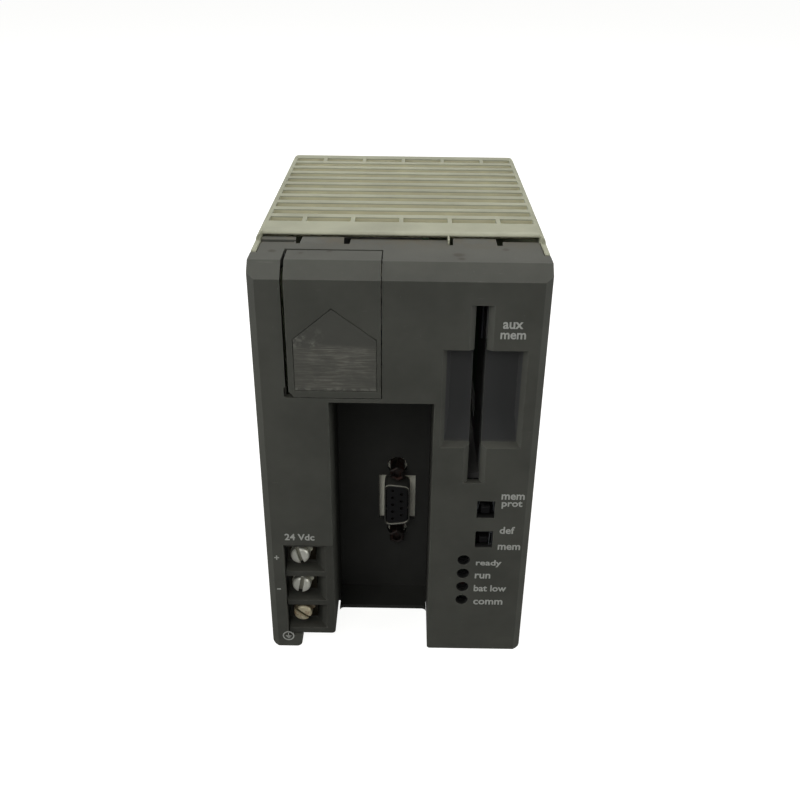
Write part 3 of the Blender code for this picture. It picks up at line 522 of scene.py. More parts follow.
@dataclass(frozen=True)
class Laminate:
    """Solder-masked circuit board: glossy mask, woven glass and copper tracks beneath."""

    name: str
    mask: Colour
    track: Colour
    pitch: float = 1.27
    thread: float = 5.2

    def make(self) -> Material:
        """Draws the tracks, a pitch apart, over a weave of so many radians to a millimetre."""
        g = Graph(self.name)
        y, z = g.along("Y") - MIDDLE_DEPTH, g.along("Z")
        tracks = g.maths("PINGPONG", y + 0.35 * z, self.pitch) / self.pitch
        lanes = g.noise(9.0, Axis.ALONG_Z, 1.0).above(0.5, 0.52)
        copper = tracks.above(0.62, 0.7) * lanes
        weave = g.maths("SINE", z * self.thread) * g.maths("SINE", y * self.thread)
        colour = g.blend(copper, self.mask, self.track)
        return g.finish(colour, 0.34 + 0.12 * g.noise(5.0), g.bump(copper + 0.1 * weave, 0.03))


@dataclass(frozen=True)
class Sleeve:
    """Shrink sleeve with a pale stripe along it, and creases where it grips."""

    name: str
    colour: Colour
    stripe: Colour
    stripe_at: float

    def make(self) -> Material:
        """Draws the material, with the stripe across x at stripe_at millimetres."""
        g = Graph(self.name)
        band = g.maths("ABSOLUTE", g.along("X") - self.stripe_at).below(1.3, 1.5)
        colour = g.blend(band, self.colour, self.stripe)
        colour = g.blend(g.noise(4.0).above(0.4, 0.8) * 0.2, colour, (0.3, 0.3, 0.3))
        return g.finish(colour, 0.3 + 0.2 * g.noise(2.0), g.bump(g.noise(1.1, Axis.ALONG_Z), 0.04))


class Finishes:
    """Every finish of the module, drawn once and shared."""

    BEZEL = HandledMoulding(
        "bezel_moulding", (0.082, 0.084, 0.071), (0.19, 0.19, 0.165), (0.125, 0.122, 0.10),
        roughness=0.55, dusting=0.3, specular=0.4,
        # Painted shade in the card recess, the lamp holes and the switch windows.
        shade_pockets=(
            ShadePocket(11.0, 34.5, 77.0, 106.8, 2.4, 1.05),
            ShadePocket(18.0, 22.9, 17.6, 38.6, 0.5, 0.35),
            ShadePocket(22.8, 29.6, 39.6, 58.9, 0.6, 0.35),
        ),
        stains=(
            Stain((-34.4, 11.0, 130.3), 1.6),
            Stain((15.6, 9.6, 130.3), 2.2),
            Stain((16.2, 6.4, 130.3), 1.5),
            Stain((28.5, 14.5, 130.3), 1.4),
        ),
    )
    DOOR = HandledMoulding(
        "door_moulding", (0.080, 0.082, 0.069), (0.20, 0.20, 0.175), (0.125, 0.122, 0.10),
        roughness=0.53, dusting=0.3, wear=0.5, specular=0.4,
        stains=(Stain((-19.0, 10.6, 130.5), 1.3), Stain((-26.5, 9.0, 130.5), 1.0)),
    )
    WELL = MouldedPlastic(
        "well_moulding", (0.050, 0.051, 0.046), (0.12, 0.12, 0.11), (0.08, 0.078, 0.066),
        roughness=0.6, dusting=0.2, specular=0.3,
    )
    BLOCK = MouldedPlastic(
        "terminal_moulding", (0.062, 0.063, 0.053), (0.16, 0.16, 0.14), (0.11, 0.105, 0.085),
        roughness=0.6, dusting=0.25, specular=0.35,
    )
    CASE = LouvredMoulding(
        "case_moulding", (0.40, 0.405, 0.30), (0.50, 0.50, 0.40), (0.33, 0.32, 0.21),
        roughness=0.55, grain=0.5, grain_depth=0.025, wear=0.3, dusting=0.2,
    )
    GUIDE = MouldedPlastic(
        "guide_moulding", (0.13, 0.13, 0.125), (0.2, 0.2, 0.19), (0.16, 0.155, 0.14), dusting=0.2
    )
    BLACK = MouldedPlastic(
        "black_moulding", (0.018, 0.018, 0.019), (0.08, 0.08, 0.08), (0.05, 0.048, 0.04),
        roughness=0.45, specular=0.3,
    )
    SWITCH = MouldedPlastic(
        "switch_moulding", (0.008, 0.008, 0.009), (0.03, 0.03, 0.03), (0.02, 0.02, 0.018),
        roughness=0.42, dusting=0.2, specular=0.3,
    )
    FRAME = MouldedPlastic(
        "switch_frame", (0.070, 0.078, 0.084), (0.16, 0.17, 0.17), (0.1, 0.1, 0.09), dusting=0.2
    )
    SCREW = PlatedMetal("zinc_plate", (0.92, 0.92, 0.80), (0.5, 0.48, 0.36), 0.2, metallic=0.4)
    RUSTY = PlatedMetal("rusted_plate", (0.62, 0.55, 0.42), (0.25, 0.15, 0.08), 0.7, metallic=0.6)
    # The screw heads carry painted shade in their slots.
    HEAD = PlatedMetal(
        "screw_head", (0.98, 0.98, 0.87), (0.52, 0.50, 0.38), 0.2, metallic=0.5,
        shaded_behind=2.75, soil_and_shade=(0.30, 0.29, 0.23),
    )
    RUSTY_HEAD = PlatedMetal(
        "rusted_head", (0.80, 0.72, 0.50), (0.42, 0.27, 0.14), 0.5, metallic=0.4,
        shaded_behind=2.75, soil_and_shade=(0.12, 0.10, 0.06),
    )
    # The tin plate's drawn shell, in front of its flange, carries painted shade.
    FLANGE = PlatedMetal(
        "tin_plate", (1.0, 0.99, 0.84), (0.90, 0.87, 0.70), 0.1, roughness=0.6, metallic=0.0,
        drawn=Axis.ALONG_Z, shaded_before=31.7, front_shade=(0.035, 0.035, 0.032),
    )
    JACK = PlatedMetal("jackscrew_plate", (0.08, 0.07, 0.065), (0.07, 0.03, 0.02), 0.6)
    BRASS = PlatedMetal("brass_strip", (0.06, 0.05, 0.035), (0.04, 0.032, 0.02), 0.6)
    ALUMINIUM = PlatedMetal(
        "extruded_aluminium", (0.62, 0.62, 0.62), (0.4, 0.4, 0.38), drawn=Axis.ALONG_Z
    )
    LABEL = WornFilm(
        "door_film", (0.078, 0.079, 0.068), (0.125, 0.122, 0.10), (0.30, 0.295, 0.26),
        low=93.6, high=107.6, left=-28.4, right=-6.2,
    )
    INK = PrintedInk("legend_ink", (0.52, 0.53, 0.49), (0.2, 0.2, 0.185))
    GREEN = LampLens("green_lens", (0.006, 0.010, 0.006), (0.012, 0.02, 0.012))
    RED = LampLens("red_lens", (0.025, 0.008, 0.006), (0.06, 0.015, 0.012))
    BOARD = Laminate("board_laminate", (0.02, 0.10, 0.035), (0.05, 0.16, 0.06))
    CELL = Sleeve("cell_sleeve", (0.04, 0.07, 0.20), (0.6, 0.6, 0.6), stripe_at=-17.8)

    def __init__(self) -> None:
        """Starts with nothing drawn."""
        self.drawn: dict[str, Material] = {}

    def material(self, finish: Any) -> Material:
        """The material of a finish, drawn the first time that it is asked for."""
        if finish.name not in self.drawn:
            self.drawn[finish.name] = finish.make()
        return self.drawn[finish.name]


# ---------------------------------------------------------------- surfaces


@dataclass
class Surface:
    """A skin as whole arrays: places in millimetres (n, 3) and four-cornered faces (m, 4)."""

    places: np.ndarray
    faces: np.ndarray

    def __add__(self, other: "Surface") -> "Surface":
        """Both skins as one."""
        faces = np.vstack((self.faces, other.faces + len(self.places)))
        return Surface(np.vstack((self.places, other.places)), faces)

    def moved(self, x: float = 0.0, d: float = 0.0, z: float = 0.0) -> "Surface":
        """The skin shifted by some millimetres."""
        return Surface(self.places + np.array((x, d, z)), self.faces)


def grid_faces(rows: int, columns: int, round_columns: bool, round_rows: bool) -> np.ndarray:
    """Faces between the points of a grid that is stored row by row.

    Args:
        rows: How many rows of points there are.
        columns: How many points each row has.
        round_columns: Whether the last column joins the first.
        round_rows: Whether the last row joins the first.

    Returns:
        An (m, 4) array of point numbers: (row, column), (row, next), (next, next), (next, column).
    """
    r = np.arange(rows if round_rows else rows - 1)
    c = np.arange(columns if round_columns else columns - 1)
    r, c = np.meshgrid(r, c, indexing="ij")
    r1, c1 = (r + 1) % rows, (c + 1) % columns
    corners = (r * columns + c, r * columns + c1, r1 * columns + c1, r1 * columns + c)
    return np.stack(corners, axis=-1).reshape(-1, 4)


def grid_surface(places: np.ndarray, round_columns: bool = False, round_rows: bool = False) -> Surface:
    """A skin over a grid of places (rows, columns, 3)."""
    rows, columns = places.shape[:2]
    return Surface(places.reshape(-1, 3), grid_faces(rows, columns, round_columns, round_rows))


def turned(
    radii: Sequence[float],
    depths: Sequence[float],
    sides: int = 48,
    facets: int = 0,
    ring: bool = False,
) -> Surface:
    """A body of revolution about d, closed where its radius is 0.

    Formula: each station's circle of its radius at its depth; where facets is set, the radius at an
    angle is the apothem of a regular polygon over the cosine of the angle to its nearest face.

    Args:
        radii: Radius at each station, or half the width across flats.
        depths: Depth at each station.
        sides: Points round the body.
        facets: Number of flats, or 0 for a round body.
        ring: Whether the last station joins the first, round a hole.

    Returns:
        The skin, centred on x = z = 0.
    """
    angle = np.arange(sides) * 2 * np.pi / sides
    reach = np.ones(sides)
    if facets:
        step = 2 * np.pi / facets
        reach = 1 / np.cos((angle + step / 2) % step - step / 2)
    radius = np.array(radii)[:, None] * reach[None, :]
    x, z = radius * np.cos(angle), radius * np.sin(angle)
    d = np.repeat(np.array(depths)[:, None], sides, axis=1)
    return grid_surface(np.stack((x, d, z), axis=-1), round_columns=True, round_rows=ring)


def slotted_screw(
    radius: float, height: float, slot_width: float, slot_depth: float, turn: float
) -> Surface:
    """A slotted screw: its head, and a plain shank behind it.

    Formula: chords across a disc, x = R s and z = R t sqrt(1 - s^2), so that lines of s lie along
    the slot; the face stands forward by a dome H (1 - 0.16 r^2 - 0.5 r^14) and drops by the slot's
    depth where |x| is inside its half width. Two outer lines of t carry the skirt back to depth 0.

    Args:
        radius: The head's radius.
        height: How far the middle of the head stands in front of its back.
        slot_width: The slot's width.
        slot_depth: How deep the slot is below the middle.
        turn: The slot's angle from upright, anticlockwise in degrees.

    Returns:
        The skin, with the back of the head at d = 0 and the front towards negative d.
    """
    half = slot_width / 2 / radius
    walls = np.array((-half - 0.03, -half - 0.004, -half + 0.004, -half + 0.02))
    middle = np.concatenate((walls, np.linspace(-half + 0.06, half - 0.06, 4), -walls[::-1]))
    left = -np.cos(np.linspace(0, np.pi / 2, 13))[:-1] * (1 - abs(walls[0])) - abs(walls[0])
    s = np.concatenate((np.maximum(left, -0.9995), middle, np.minimum(-left[::-1], 0.9995)))
    t = np.concatenate(((-1.0, -1.0), np.sin(np.linspace(-np.pi / 2, np.pi / 2, 27)), (1.0, 1.0)))
    s_grid, t_grid = np.meshgrid(s, t, indexing="ij")
    x, z = s_grid, t_grid * np.sqrt(1 - s_grid**2)
    r = np.sqrt(x**2 + z**2)
    dome = height * (1 - 0.16 * r**2 - 0.5 * r**14)
    cut = (np.abs(x) < half) * slot_depth
    front = dome - cut * (1 - 0.04 * np.cos(9 * z))
    front[:, (0, -1)] = 0.0
    a = math.radians(turn)
    across, along = math.cos(a), math.sin(a)
    x, z = radius * (x * across - z * along), radius * (x * along + z * across)
    face = grid_surface(np.stack((x, -front, z), axis=-1))
    shank, tip = 0.56 * radius, 0.33 * radius
    return face + turned((radius, shank, shank, tip, 0.0), (0.0, 0.02, 9.6, 10.4, 10.5))


def lugged_washer(
    radius: float, lug: float, towards: float, thick: float, bore: float, spread: float = 17.0
) -> Surface:
    """A cupped clamp washer whose edge runs out into one lug, bent forward to keep the wire in.

    Formula: with g = exp(-((angle - towards) / spread)^2), the edge is at radius + lug g; the front
    is at -(thick + 0.25 m^2 + 0.9 lug g m^4), where m is the share of the way from the hole out to
    the edge, with grip lines a small sine of the angle. The back follows a thickness behind.

    Args:
        radius: The washer's radius away from its lug.
        lug: How much further out the lug reaches.
        towards: The lug's direction, in degrees anticlockwise from x.
        thick: The sheet's thickness.
        bore: The hole's radius.
        spread: How wide the lug is, in degrees.

    Returns:
        The closed skin, with its back at d = 0 beside the hole.
    """
    angle = np.linspace(0, 2 * np.pi, 96, endpoint=False)
    lobe = np.exp(-(((np.degrees(angle) - towards) / spread) ** 2))
    share = np.concatenate((np.linspace(0, 0.97, 12), (1.0,)))[:, None]
    reach = bore + (radius + lug * lobe - bore)[None, :] * share
    bend = 0.25 * share**2 + 0.9 * lug * lobe * share**4 + 0.04 * np.sin(24 * angle) * (share > 0.5)
    x, z = reach * np.cos(angle), reach * np.sin(angle)
    front = np.stack((x, -thick - bend, z), axis=-1)
    back = np.stack((x, -bend, z), axis=-1)[::-1]
    return grid_surface(np.concatenate((front, back)), round_columns=True, round_rows=True)


def rounded_outline(points: Sequence[tuple[float, float]], radius: float, steps: int) -> np.ndarray:
    """A closed outline whose corners are replaced by arcs.

    Formula: at each corner a quadratic curve from a point one radius before it to one a radius
    after it, with the corner itself as its handle.

    Args:
        points: The corners, in order.
        radius: How far from each corner its curve starts.
        steps: Points on each curve, less one.

    Returns:
        An (n, 2) array.
    """
    corner = np.array(points, float)
    before = np.roll(corner, 1, axis=0) - corner
    after = np.roll(corner, -1, axis=0) - corner
    before /= np.linalg.norm(before, axis=1)[:, None]
    after /= np.linalg.norm(after, axis=1)[:, None]
    t = np.linspace(0, 1, steps + 1)[None, :, None]
    start, end = (corner + radius * before)[:, None], (corner + radius * after)[:, None]
    return ((1 - t) ** 2 * start + 2 * t * (1 - t) * corner[:, None] + t**2 * end).reshape(-1, 2)


def drawn_rim(outline: np.ndarray, stations: Sequence[tuple[float, float]]) -> Surface:
    """An outline carried back along d, moved in or out at each station.

    Formula: point = outline + offset x outward normal, at the station's depth. Where the stations
    end where they start, the skin is closed.

    Args:
        outline: An (n, 2) outline in x and z.
        stations: (offset, depth) for each ring.

    Returns:
        The skin, closed from the last station to the first.
    """
    tangent = np.roll(outline, -1, axis=0) - np.roll(outline, 1, axis=0)
    tangent /= np.linalg.norm(tangent, axis=1)[:, None]
    normal = np.stack((tangent[:, 1], -tangent[:, 0]), axis=-1)
    x, z = outline.T
    normal *= np.sign(np.sum(x * np.roll(z, -1) - np.roll(x, -1) * z))
    rings = []
    for offset, depth in stations:
        flat = outline + offset * normal
        rings.append(np.stack((flat[:, 0], np.full(len(flat), depth), flat[:, 1]), axis=-1))
    return grid_surface(np.array(rings), round_columns=True, round_rows=True)


def pillow_block(low: Sequence[float], high: Sequence[float], edge: float) -> Surface:
    """A box with rounded edges.

    Formula: a sphere grid's unit normal n, pushed to the box's inner corner by its signs and then
    out by edge x n, so each octant of the sphere becomes one rounded corner.

    Args:
        low: The lowest corner (x, d, z).
        high: The highest corner.
        edge: The rounding's radius.

    Returns:
        The closed skin.
    """
    low, high = np.array(low, float), np.array(high, float)
    quarter = np.linspace(0.02, np.pi / 2 - 0.02, 4)
    around = np.concatenate([quarter + k * np.pi / 2 for k in range(4)])
    up = np.concatenate((quarter - np.pi / 2, quarter))
    up, around = np.meshgrid(up, around, indexing="ij")
    level = np.cos(up)
    normal = np.stack((level * np.cos(around), level * np.sin(around), np.sin(up)), axis=-1)
    middle, half = (low + high) / 2, (high - low) / 2 - edge
    places = middle + np.sign(normal) * half + edge * normal
    skin = grid_surface(places, round_columns=True)
    rows, columns = places.shape[:2]
    ends = (cap_faces(0, columns), cap_faces((rows - 1) * columns, columns))
    return Surface(skin.places, np.vstack((skin.faces, *ends)))


def cap_faces(start: int, columns: int) -> np.ndarray:
    """Quads that close a ring of points by folding it from its first half to its second."""
    half = columns // 2
    k = np.arange(half - 1)
    return start + np.stack((k, k + 1, columns - 2 - k, columns - 1 - k), axis=-1)


# ---------------------------------------------------------------- pieces


class Workshop:
    """Turns skins, nodes and lettering into pieces that ride on the frame."""

    def __init__(self, finishes: Finishes) -> None:
        """Keeps the finishes that pieces are dressed in."""
        self.finishes = finishes

    def piece(
        self, name: str, skin: Surface, finish: Any, body: str, slot: Slot, smooth: float = CRISP_ANGLE
    ) -> Object:
        """Makes one piece from a skin.

        Args:
            name: The piece's name.
            skin: Its places and faces.
            finish: Its finish.
            body: The body it rides on.
            slot: The record's slot for its finish; not used.
            smooth: Edges sharper than this many degrees stay crisp.

        Returns:
            The new object, which sits at the origin.
        """
        mesh = bpy.data.meshes.new(name)
        mesh.from_pydata(placed(skin.places), [], skin.faces.tolist())
        shape = bmesh.new()
        shape.from_mesh(mesh)
        bmesh.ops.remove_doubles(shape, verts=shape.verts, dist=WELD_DISTANCE)
        bmesh.ops.dissolve_degenerate(shape, edges=shape.edges, dist=SLIVER_LENGTH)
        bmesh.ops.recalc_face_normals(shape, faces=shape.faces)
        shape.to_mesh(mesh)
        shape.free()
        return self.dressed(bpy.data.objects.new(name, mesh), finish, body, smooth)

    def dressed(self, made: Object, finish: Any, body: str, smooth: float) -> Object:
        """Links a new object, gives it its finish and sets it on its body."""
        bpy.context.scene.collection.objects.link(made)
        made.data.materials.clear()
        made.data.materials.append(self.finishes.material(finish))
        made.data.shade_smooth()
        made.data.set_sharp_from_angle(angle=math.radians(smooth))
        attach(made, body)
        return made

    def softened(self, node: str, finish: Any, body: str, slot: Slot, edge: float) -> Object:
        """A copy of a node with its moulded edges rounded, which stands for that node.

        Args:
            node: The node's name.
            finish: The copy's finish.
            body: The body it rides on.
            slot: The record's slot for its finish; not used.
            edge: The width of the rounded edges, in millimetres.

        Returns:
            The new object.
        """
        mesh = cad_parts[node].data.copy()
        shape = bmesh.new()
        shape.from_mesh(mesh)
        bmesh.ops.remove_doubles(shape, verts=shape.verts, dist=WELD_DISTANCE)
        flat = {"angle_limit": math.radians(1.0), "use_dissolve_boundaries": False}
        bmesh.ops.dissolve_limit(shape, verts=shape.verts, edges=shape.edges, **flat)
        shape.to_mesh(mesh)
        shape.free()
        mesh.name = node + "_shape"
        made = bpy.data.objects.new(node + "_moulding", mesh)
        self.dressed(made, finish, body, MOULDED_ANGLE)
        bevel = made.modifiers.new("moulded_edges", "BEVEL")
        bevel.width = edge * MM
        bevel.segments = 2
        bevel.limit_method = "ANGLE"
        bevel.angle_limit = math.radians(MOULDED_ANGLE)
        bevel.use_clamp_overlap = True
        flats = made.modifiers.new("flat_faces", "WEIGHTED_NORMAL")
        flats.keep_sharp = True
        flats.weight = 100
        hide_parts(node)
        return made

    def refinish(self, finish: Any, *nodes: str) -> None:
        """Gives nodes whose shapes are right a better material."""
        for node in nodes:
            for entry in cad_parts[node].material_slots:
                entry.material = self.finishes.material(finish)

    def lettering(self, name: str, lines: Iterable["Legend"]) -> Object:
        """Makes one piece of printed legends.

        Args:
            name: The piece's name.
            lines: The legends on it.

        Returns:
            The new object, on the housing.
        """
        places, faces = np.zeros((0, 3)), []
        for line in lines:
            flat, polygons = line.outline()
            faces += [[i + len(places) for i in polygon] for polygon in polygons]
            places = np.vstack((places, flat))
        mesh = bpy.data.meshes.new(name)
        mesh.from_pydata(placed(places), [], faces)
        made = bpy.data.objects.new(name, mesh)
        return self.dressed(made, self.finishes.INK, HOUSING, CRISP_ANGLE)


@dataclass(frozen=True)
class Legend:
    """One printed word: its text and the box that it fills on the bezel's face."""

    text: str
    left: float
    right: float
    bottom: float
    top: float
    weight: float = 0.02
    proud: float = 0.04
    sunk: float = 0.02

    def outline(self) -> tuple[np.ndarray, list[list[int]]]:
        """The word as a thin solid.

        Returns:
            Places (n, 3) in millimetres and the polygons over them.
        """
        curve = bpy.data.curves.new("legend", "FONT")
        curve.body = self.text
        curve.offset = self.weight
        curve.extrude = 0.5
        curve.resolution_u = 3
        holder = bpy.data.objects.new("legend", curve)
        bpy.context.scene.collection.objects.link(holder)
        bpy.context.view_layer.update()
        mesh = holder.to_mesh()
        points = np.zeros(len(mesh.vertices) * 3)
        mesh.vertices.foreach_get("co", points)
        polygons = [list(p.vertices) for p in mesh.polygons]
        holder.to_mesh_clear()
        bpy.data.objects.remove(holder)
        points = points.reshape(-1, 3)
        low, high = points.min(axis=0), points.max(axis=0)
        share = (points - low) / (high - low)
        x = self.left + share[:, 0] * (self.right - self.left)
        z = self.bottom + share[:, 1] * (self.top - self.bottom)
        d = -self.proud * share[:, 2] + self.sunk * (1 - share[:, 2])
        return np.stack((x, d, z), axis=-1), polygons


# ---------------------------------------------------------------- sub-assemblies


@dataclass
class Housing:
    """The rear case and the front bezel."""

    shop: Workshop
    case_edge: float = 0.3
    bezel_edge: float = 0.22
    catch: tuple[Place, Place, float] = ((13.0, 18.6, 129.5), (13.45, 22.9, 131.5), 0.1)

    def build(self) -> list[Object]:
        """Makes the two mouldings, and the roof's catch that drops into a notch of the bezel."""
        finishes = self.shop.finishes
        catch = pillow_block(*self.catch)
        return [
            self.shop.softened("rear_case", finishes.CASE, HOUSING, Slot.CASE, self.case_edge),
            self.shop.softened("front_bezel", finishes.BEZEL, HOUSING, Slot.BEZEL, self.bezel_edge),
            self.shop.piece("roof_catch", catch, finishes.CASE, HOUSING, Slot.CASE),
        ]


@dataclass
class BatteryDoor:
    """The flip-up door, its worn label and what is behind it."""

    shop: Workshop
    left: float = -28.5
    right: float = -6.1
    bottom: float = 94.1
    shoulder: float = 109.36
    peak_x: float = -18.0
    peak_z: float = 118.2
    face: float = -0.13
    thick: float = 0.16
    edge: float = 0.22

    def build(self) -> list[Object]:
        """Makes the door moulding and the label."""
        finishes = self.shop.finishes
        body = "battery_door"
        door = self.shop.softened(body, finishes.DOOR, body, Slot.BEZEL, self.edge)
        label = self.shop.piece("worn_label", self.film(), finishes.LABEL, body, Slot.LABEL)
        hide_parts("door_label")
        return [door, label]

    def film(self) -> Surface:
        """The house-shaped film.

        Formula: x runs from left to right with u; z runs with v from the bottom to a roof line that
        climbs straight from each shoulder to the peak; the face is at a constant depth with a ripple
        of 0.012 mm sin(1.1 x) sin(0.9 z), and is raised 0.05 mm in a band along the edge.

        Returns:
            The closed film.
        """
        n = 61
        u, v = np.meshgrid(np.linspace(0, 1, n), np.linspace(0, 1, n), indexing="ij")
        x = self.left + u * (self.right - self.left)
        climb = (x - self.left) / (self.peak_x - self.left)
        fall = (self.right - x) / (self.right - self.peak_x)
        slope = np.where(x < self.peak_x, climb, fall)
        roof = self.shoulder + slope * (self.peak_z - self.shoulder)
        z = self.bottom + v * (roof - self.bottom)
        inside = np.minimum.reduce((x - self.left, self.right - x, z - self.bottom, roof - z))
        band = np.clip(1 - np.abs(inside - 0.45) / 0.25, 0, 1) * 0.05
        front = self.face - 0.012 * np.sin(1.1 * x) * np.sin(0.9 * z) - band * (inside > 0)
        back = np.full_like(front, self.face + self.thick)
        faces = [grid_surface(np.stack((x, depth, z), axis=-1)) for depth in (front, back)]
        last = n * n
        there = (range(n), range(2 * n - 1, last, n))
        back_again = (range(last - 2, last - n - 1, -1), range(last - 2 * n, 0, -n))
        rim = np.concatenate([np.array(side) for side in there + back_again])
        near, far = faces[0].places[rim], faces[1].places[rim]
        return faces[0] + faces[1] + grid_surface(np.array((near, far)), round_columns=True)

    def dress(self) -> None:
        """Refinishes the cell and its holder, which show when the door is up."""
        shop, finishes = self.shop, self.shop.finishes
        shop.refinish(finishes.BLACK, "battery_holder", "door_hinge_pin")
        shop.refinish(finishes.CELL, "battery_cell")
        shop.refinish(finishes.SCREW, "battery_contact", "battery_spring")


@dataclass
class SupplyTerminals:
    """Three screw terminals in their moulded block."""

    shop: Workshop
    x: float = -30.05
    heights: tuple[float, ...] = (34.65, 23.15, 11.65)
    turns: tuple[float, ...] = (15.0, -10.0, 50.0)
    head: tuple[float, ...] = (3.0, 2.05, 1.25, 1.3)
    head_back: float = 4.1
    washer: tuple[float, ...] = (3.1, 1.9, 38.0, 0.7, 1.95)
    washer_back: float = 5.2
    block_edge: float = 0.2

    def build(self) -> list[Object]:
        """Makes the block, the clamp plates and the screws, of which the lowest is rusted."""
        shop, finishes = self.shop, self.shop.finishes
        block = shop.softened(
            "terminal_block", finishes.BLOCK, HOUSING, Slot.BEZEL, self.block_edge
        )
        made = [block]
        for number, (z, turn) in enumerate(zip(self.heights, self.turns), 1):
            steel, plating = finishes.HEAD, finishes.SCREW
            if number == len(self.heights):
                steel, plating = finishes.RUSTY_HEAD, finishes.RUSTY
            body = f"terminal_screw_{number}"
            skin = slotted_screw(*self.head, turn).moved(self.x, self.head_back, z)
            screw = shop.piece(f"slotted_screw_{number}", skin, steel, body, Slot.PLATED)
            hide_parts(f"terminal_screw_{number}")
            body = f"terminal_clamp_{number}"
            skin = lugged_washer(*self.washer).moved(self.x, self.washer_back, z)
            clamp = shop.piece(f"clamp_washer_{number}", skin, plating, body, Slot.PLATED)
            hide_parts(f"terminal_clamp_{number}")
            made += [screw, clamp]
            shop.refinish(finishes.BRASS, f"terminal_strip_{number}")
        return made


@dataclass
class SerialPort:
    """The dark well and the nine-way socket with its jackscrews."""

    shop: Workshop
    x: float = -0.3
    z: float = 38.55
    screw_offset: float = 12.5
    screw_front: float = 24.2
    well_edge: float = 0.25
    shell_edge: float = 0.12
    screw_radii: tuple[float, ...] = (0.0, 1.15, 1.35, 1.95, 2.32, 2.34, 2.34, 2.15, 1.35, 1.35, 0.0)
    screw_depths: tuple[float, ...] = (1.7, 1.6, 0.25, 0.0, 0.3, 1.0, 6.9, 7.25, 7.3, 10.8, 10.9)

    def build(self) -> list[Object]:
        """Makes the well, the flange with its drawn shell, and the jackscrews."""
        shop, finishes = self.shop, self.shop.finishes
        well = shop.softened("port_well", finishes.WELL, HOUSING, Slot.BEZEL, self.well_edge)
        shell = shop.softened("port_shell", finishes.FLANGE, HOUSING, Slot.PLATED, self.shell_edge)
        shop.refinish(finishes.BLACK, "port_insulator")
        made = [well, shell]
        hexagon = turned(self.screw_radii, self.screw_depths, sides=60, facets=6)
        for place, offset in (("upper", self.screw_offset), ("lower", -self.screw_offset)):
            skin = hexagon.moved(self.x, self.screw_front, self.z + offset)
            screw = shop.piece(f"hex_jackscrew_{place}", skin, finishes.JACK, HOUSING, Slot.PLATED)
            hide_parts(f"port_jackscrew_{place}")
            made.append(screw)
        return made


@dataclass
class Controls:
    """The card guide, the two slide switches and the four lamps."""

    shop: Workshop
    lamp_x: float = 20.5
    lamp_top: float = 36.0
    lamp_pitch: float = 5.2
    lens_angle: float = 50.0
    lamps: tuple[str, ...] = ("ready", "run", "battery_low", "comm")
    frames: dict[str, tuple[tuple[tuple[float, float], ...], ...]] = field(
        default_factory=lambda: {
            "protect_switch_cheeks": (
                ((23.62, 52.6), (24.9, 57.93), (23.62, 57.93)),
                ((28.88, 53.4), (28.88, 57.93), (28.0, 57.93)),
            ),
            "start_switch_frame": (
                ((23.62, 45.6), (28.88, 45.6), (28.88, 47.03), (23.62, 47.03)),
                ((27.75, 40.87), (28.88, 40.87), (28.88, 45.6), (27.95, 45.6)),
            ),
        }
    )
    frame_rings: tuple[tuple[float, float], ...] = (
        (-0.25, 1.45), (-0.02, 1.6), (0.0, 2.2), (-0.3, 2.25)
    )
    frame_corner: float = 0.15
    slider_edge: float = 0.15
    rail: tuple[Place, Place, float] = ((23.15, 15.4, 103.5), (23.85, 16.9, 119.5), 0.15)

    def build(self) -> list[Object]:
        """Makes the lamps, the switches and the card's rail, and refinishes what is behind them."""
        shop, finishes = self.shop, self.shop.finishes
        made = []
        for row, lamp in enumerate(self.lamps):
            tint, slot = finishes.GREEN, Slot.LENS_GREEN
            if lamp == "battery_low":
                tint, slot = finishes.RED, Slot.LENS_RED
            skin = self.lens().moved(self.lamp_x, 0.0, self.lamp_top - row * self.lamp_pitch)
            piece = shop.piece(f"lamp_{lamp}", skin, tint, HOUSING, slot, self.lens_angle)
            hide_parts(f"led_{lamp}")
            made.append(piece)
        for switch in ("protect_switch", "start_switch"):
            body = f"{switch}_slider"
            made.append(shop.softened(body, finishes.SWITCH, body, Slot.BLACK, self.slider_edge))
            shop.refinish(finishes.BLACK, f"{switch}_body")
        for name, outlines in self.frames.items():
            rounded = (rounded_outline(outline, self.frame_corner, 2) for outline in outlines)
            first, *others = (drawn_rim(outline, self.frame_rings) for outline in rounded)
            made.append(shop.piece(name, sum(others, first), finishes.FRAME, HOUSING, Slot.BLACK))
        rail = pillow_block(*self.rail)
        made.append(shop.piece("card_rail", rail, finishes.FRAME, HOUSING, Slot.BLACK))
        shop.refinish(finishes.GUIDE, "card_guide")
        shop.refinish(finishes.BLACK, "card_connector", "led_holder")
        return made

    @staticmethod
    def lens(radius: float = 1.5, depth: float = 3.5) -> Surface:
        """A lamp: a dome, at depth - 1.3 sqrt(1 - q^2) where it is q of its radius wide."""
        q = np.sin(np.linspace(0, np.pi / 2, 10))
        radii = np.concatenate((radius * q, (radius, radius, radius - 0.05, 0.0)))
        depths = np.concatenate((depth - 1.3 * np.sqrt(1 - q**2), (4.2, 11.4, 11.6, 11.65)))
        return turned(radii, depths, sides=32)


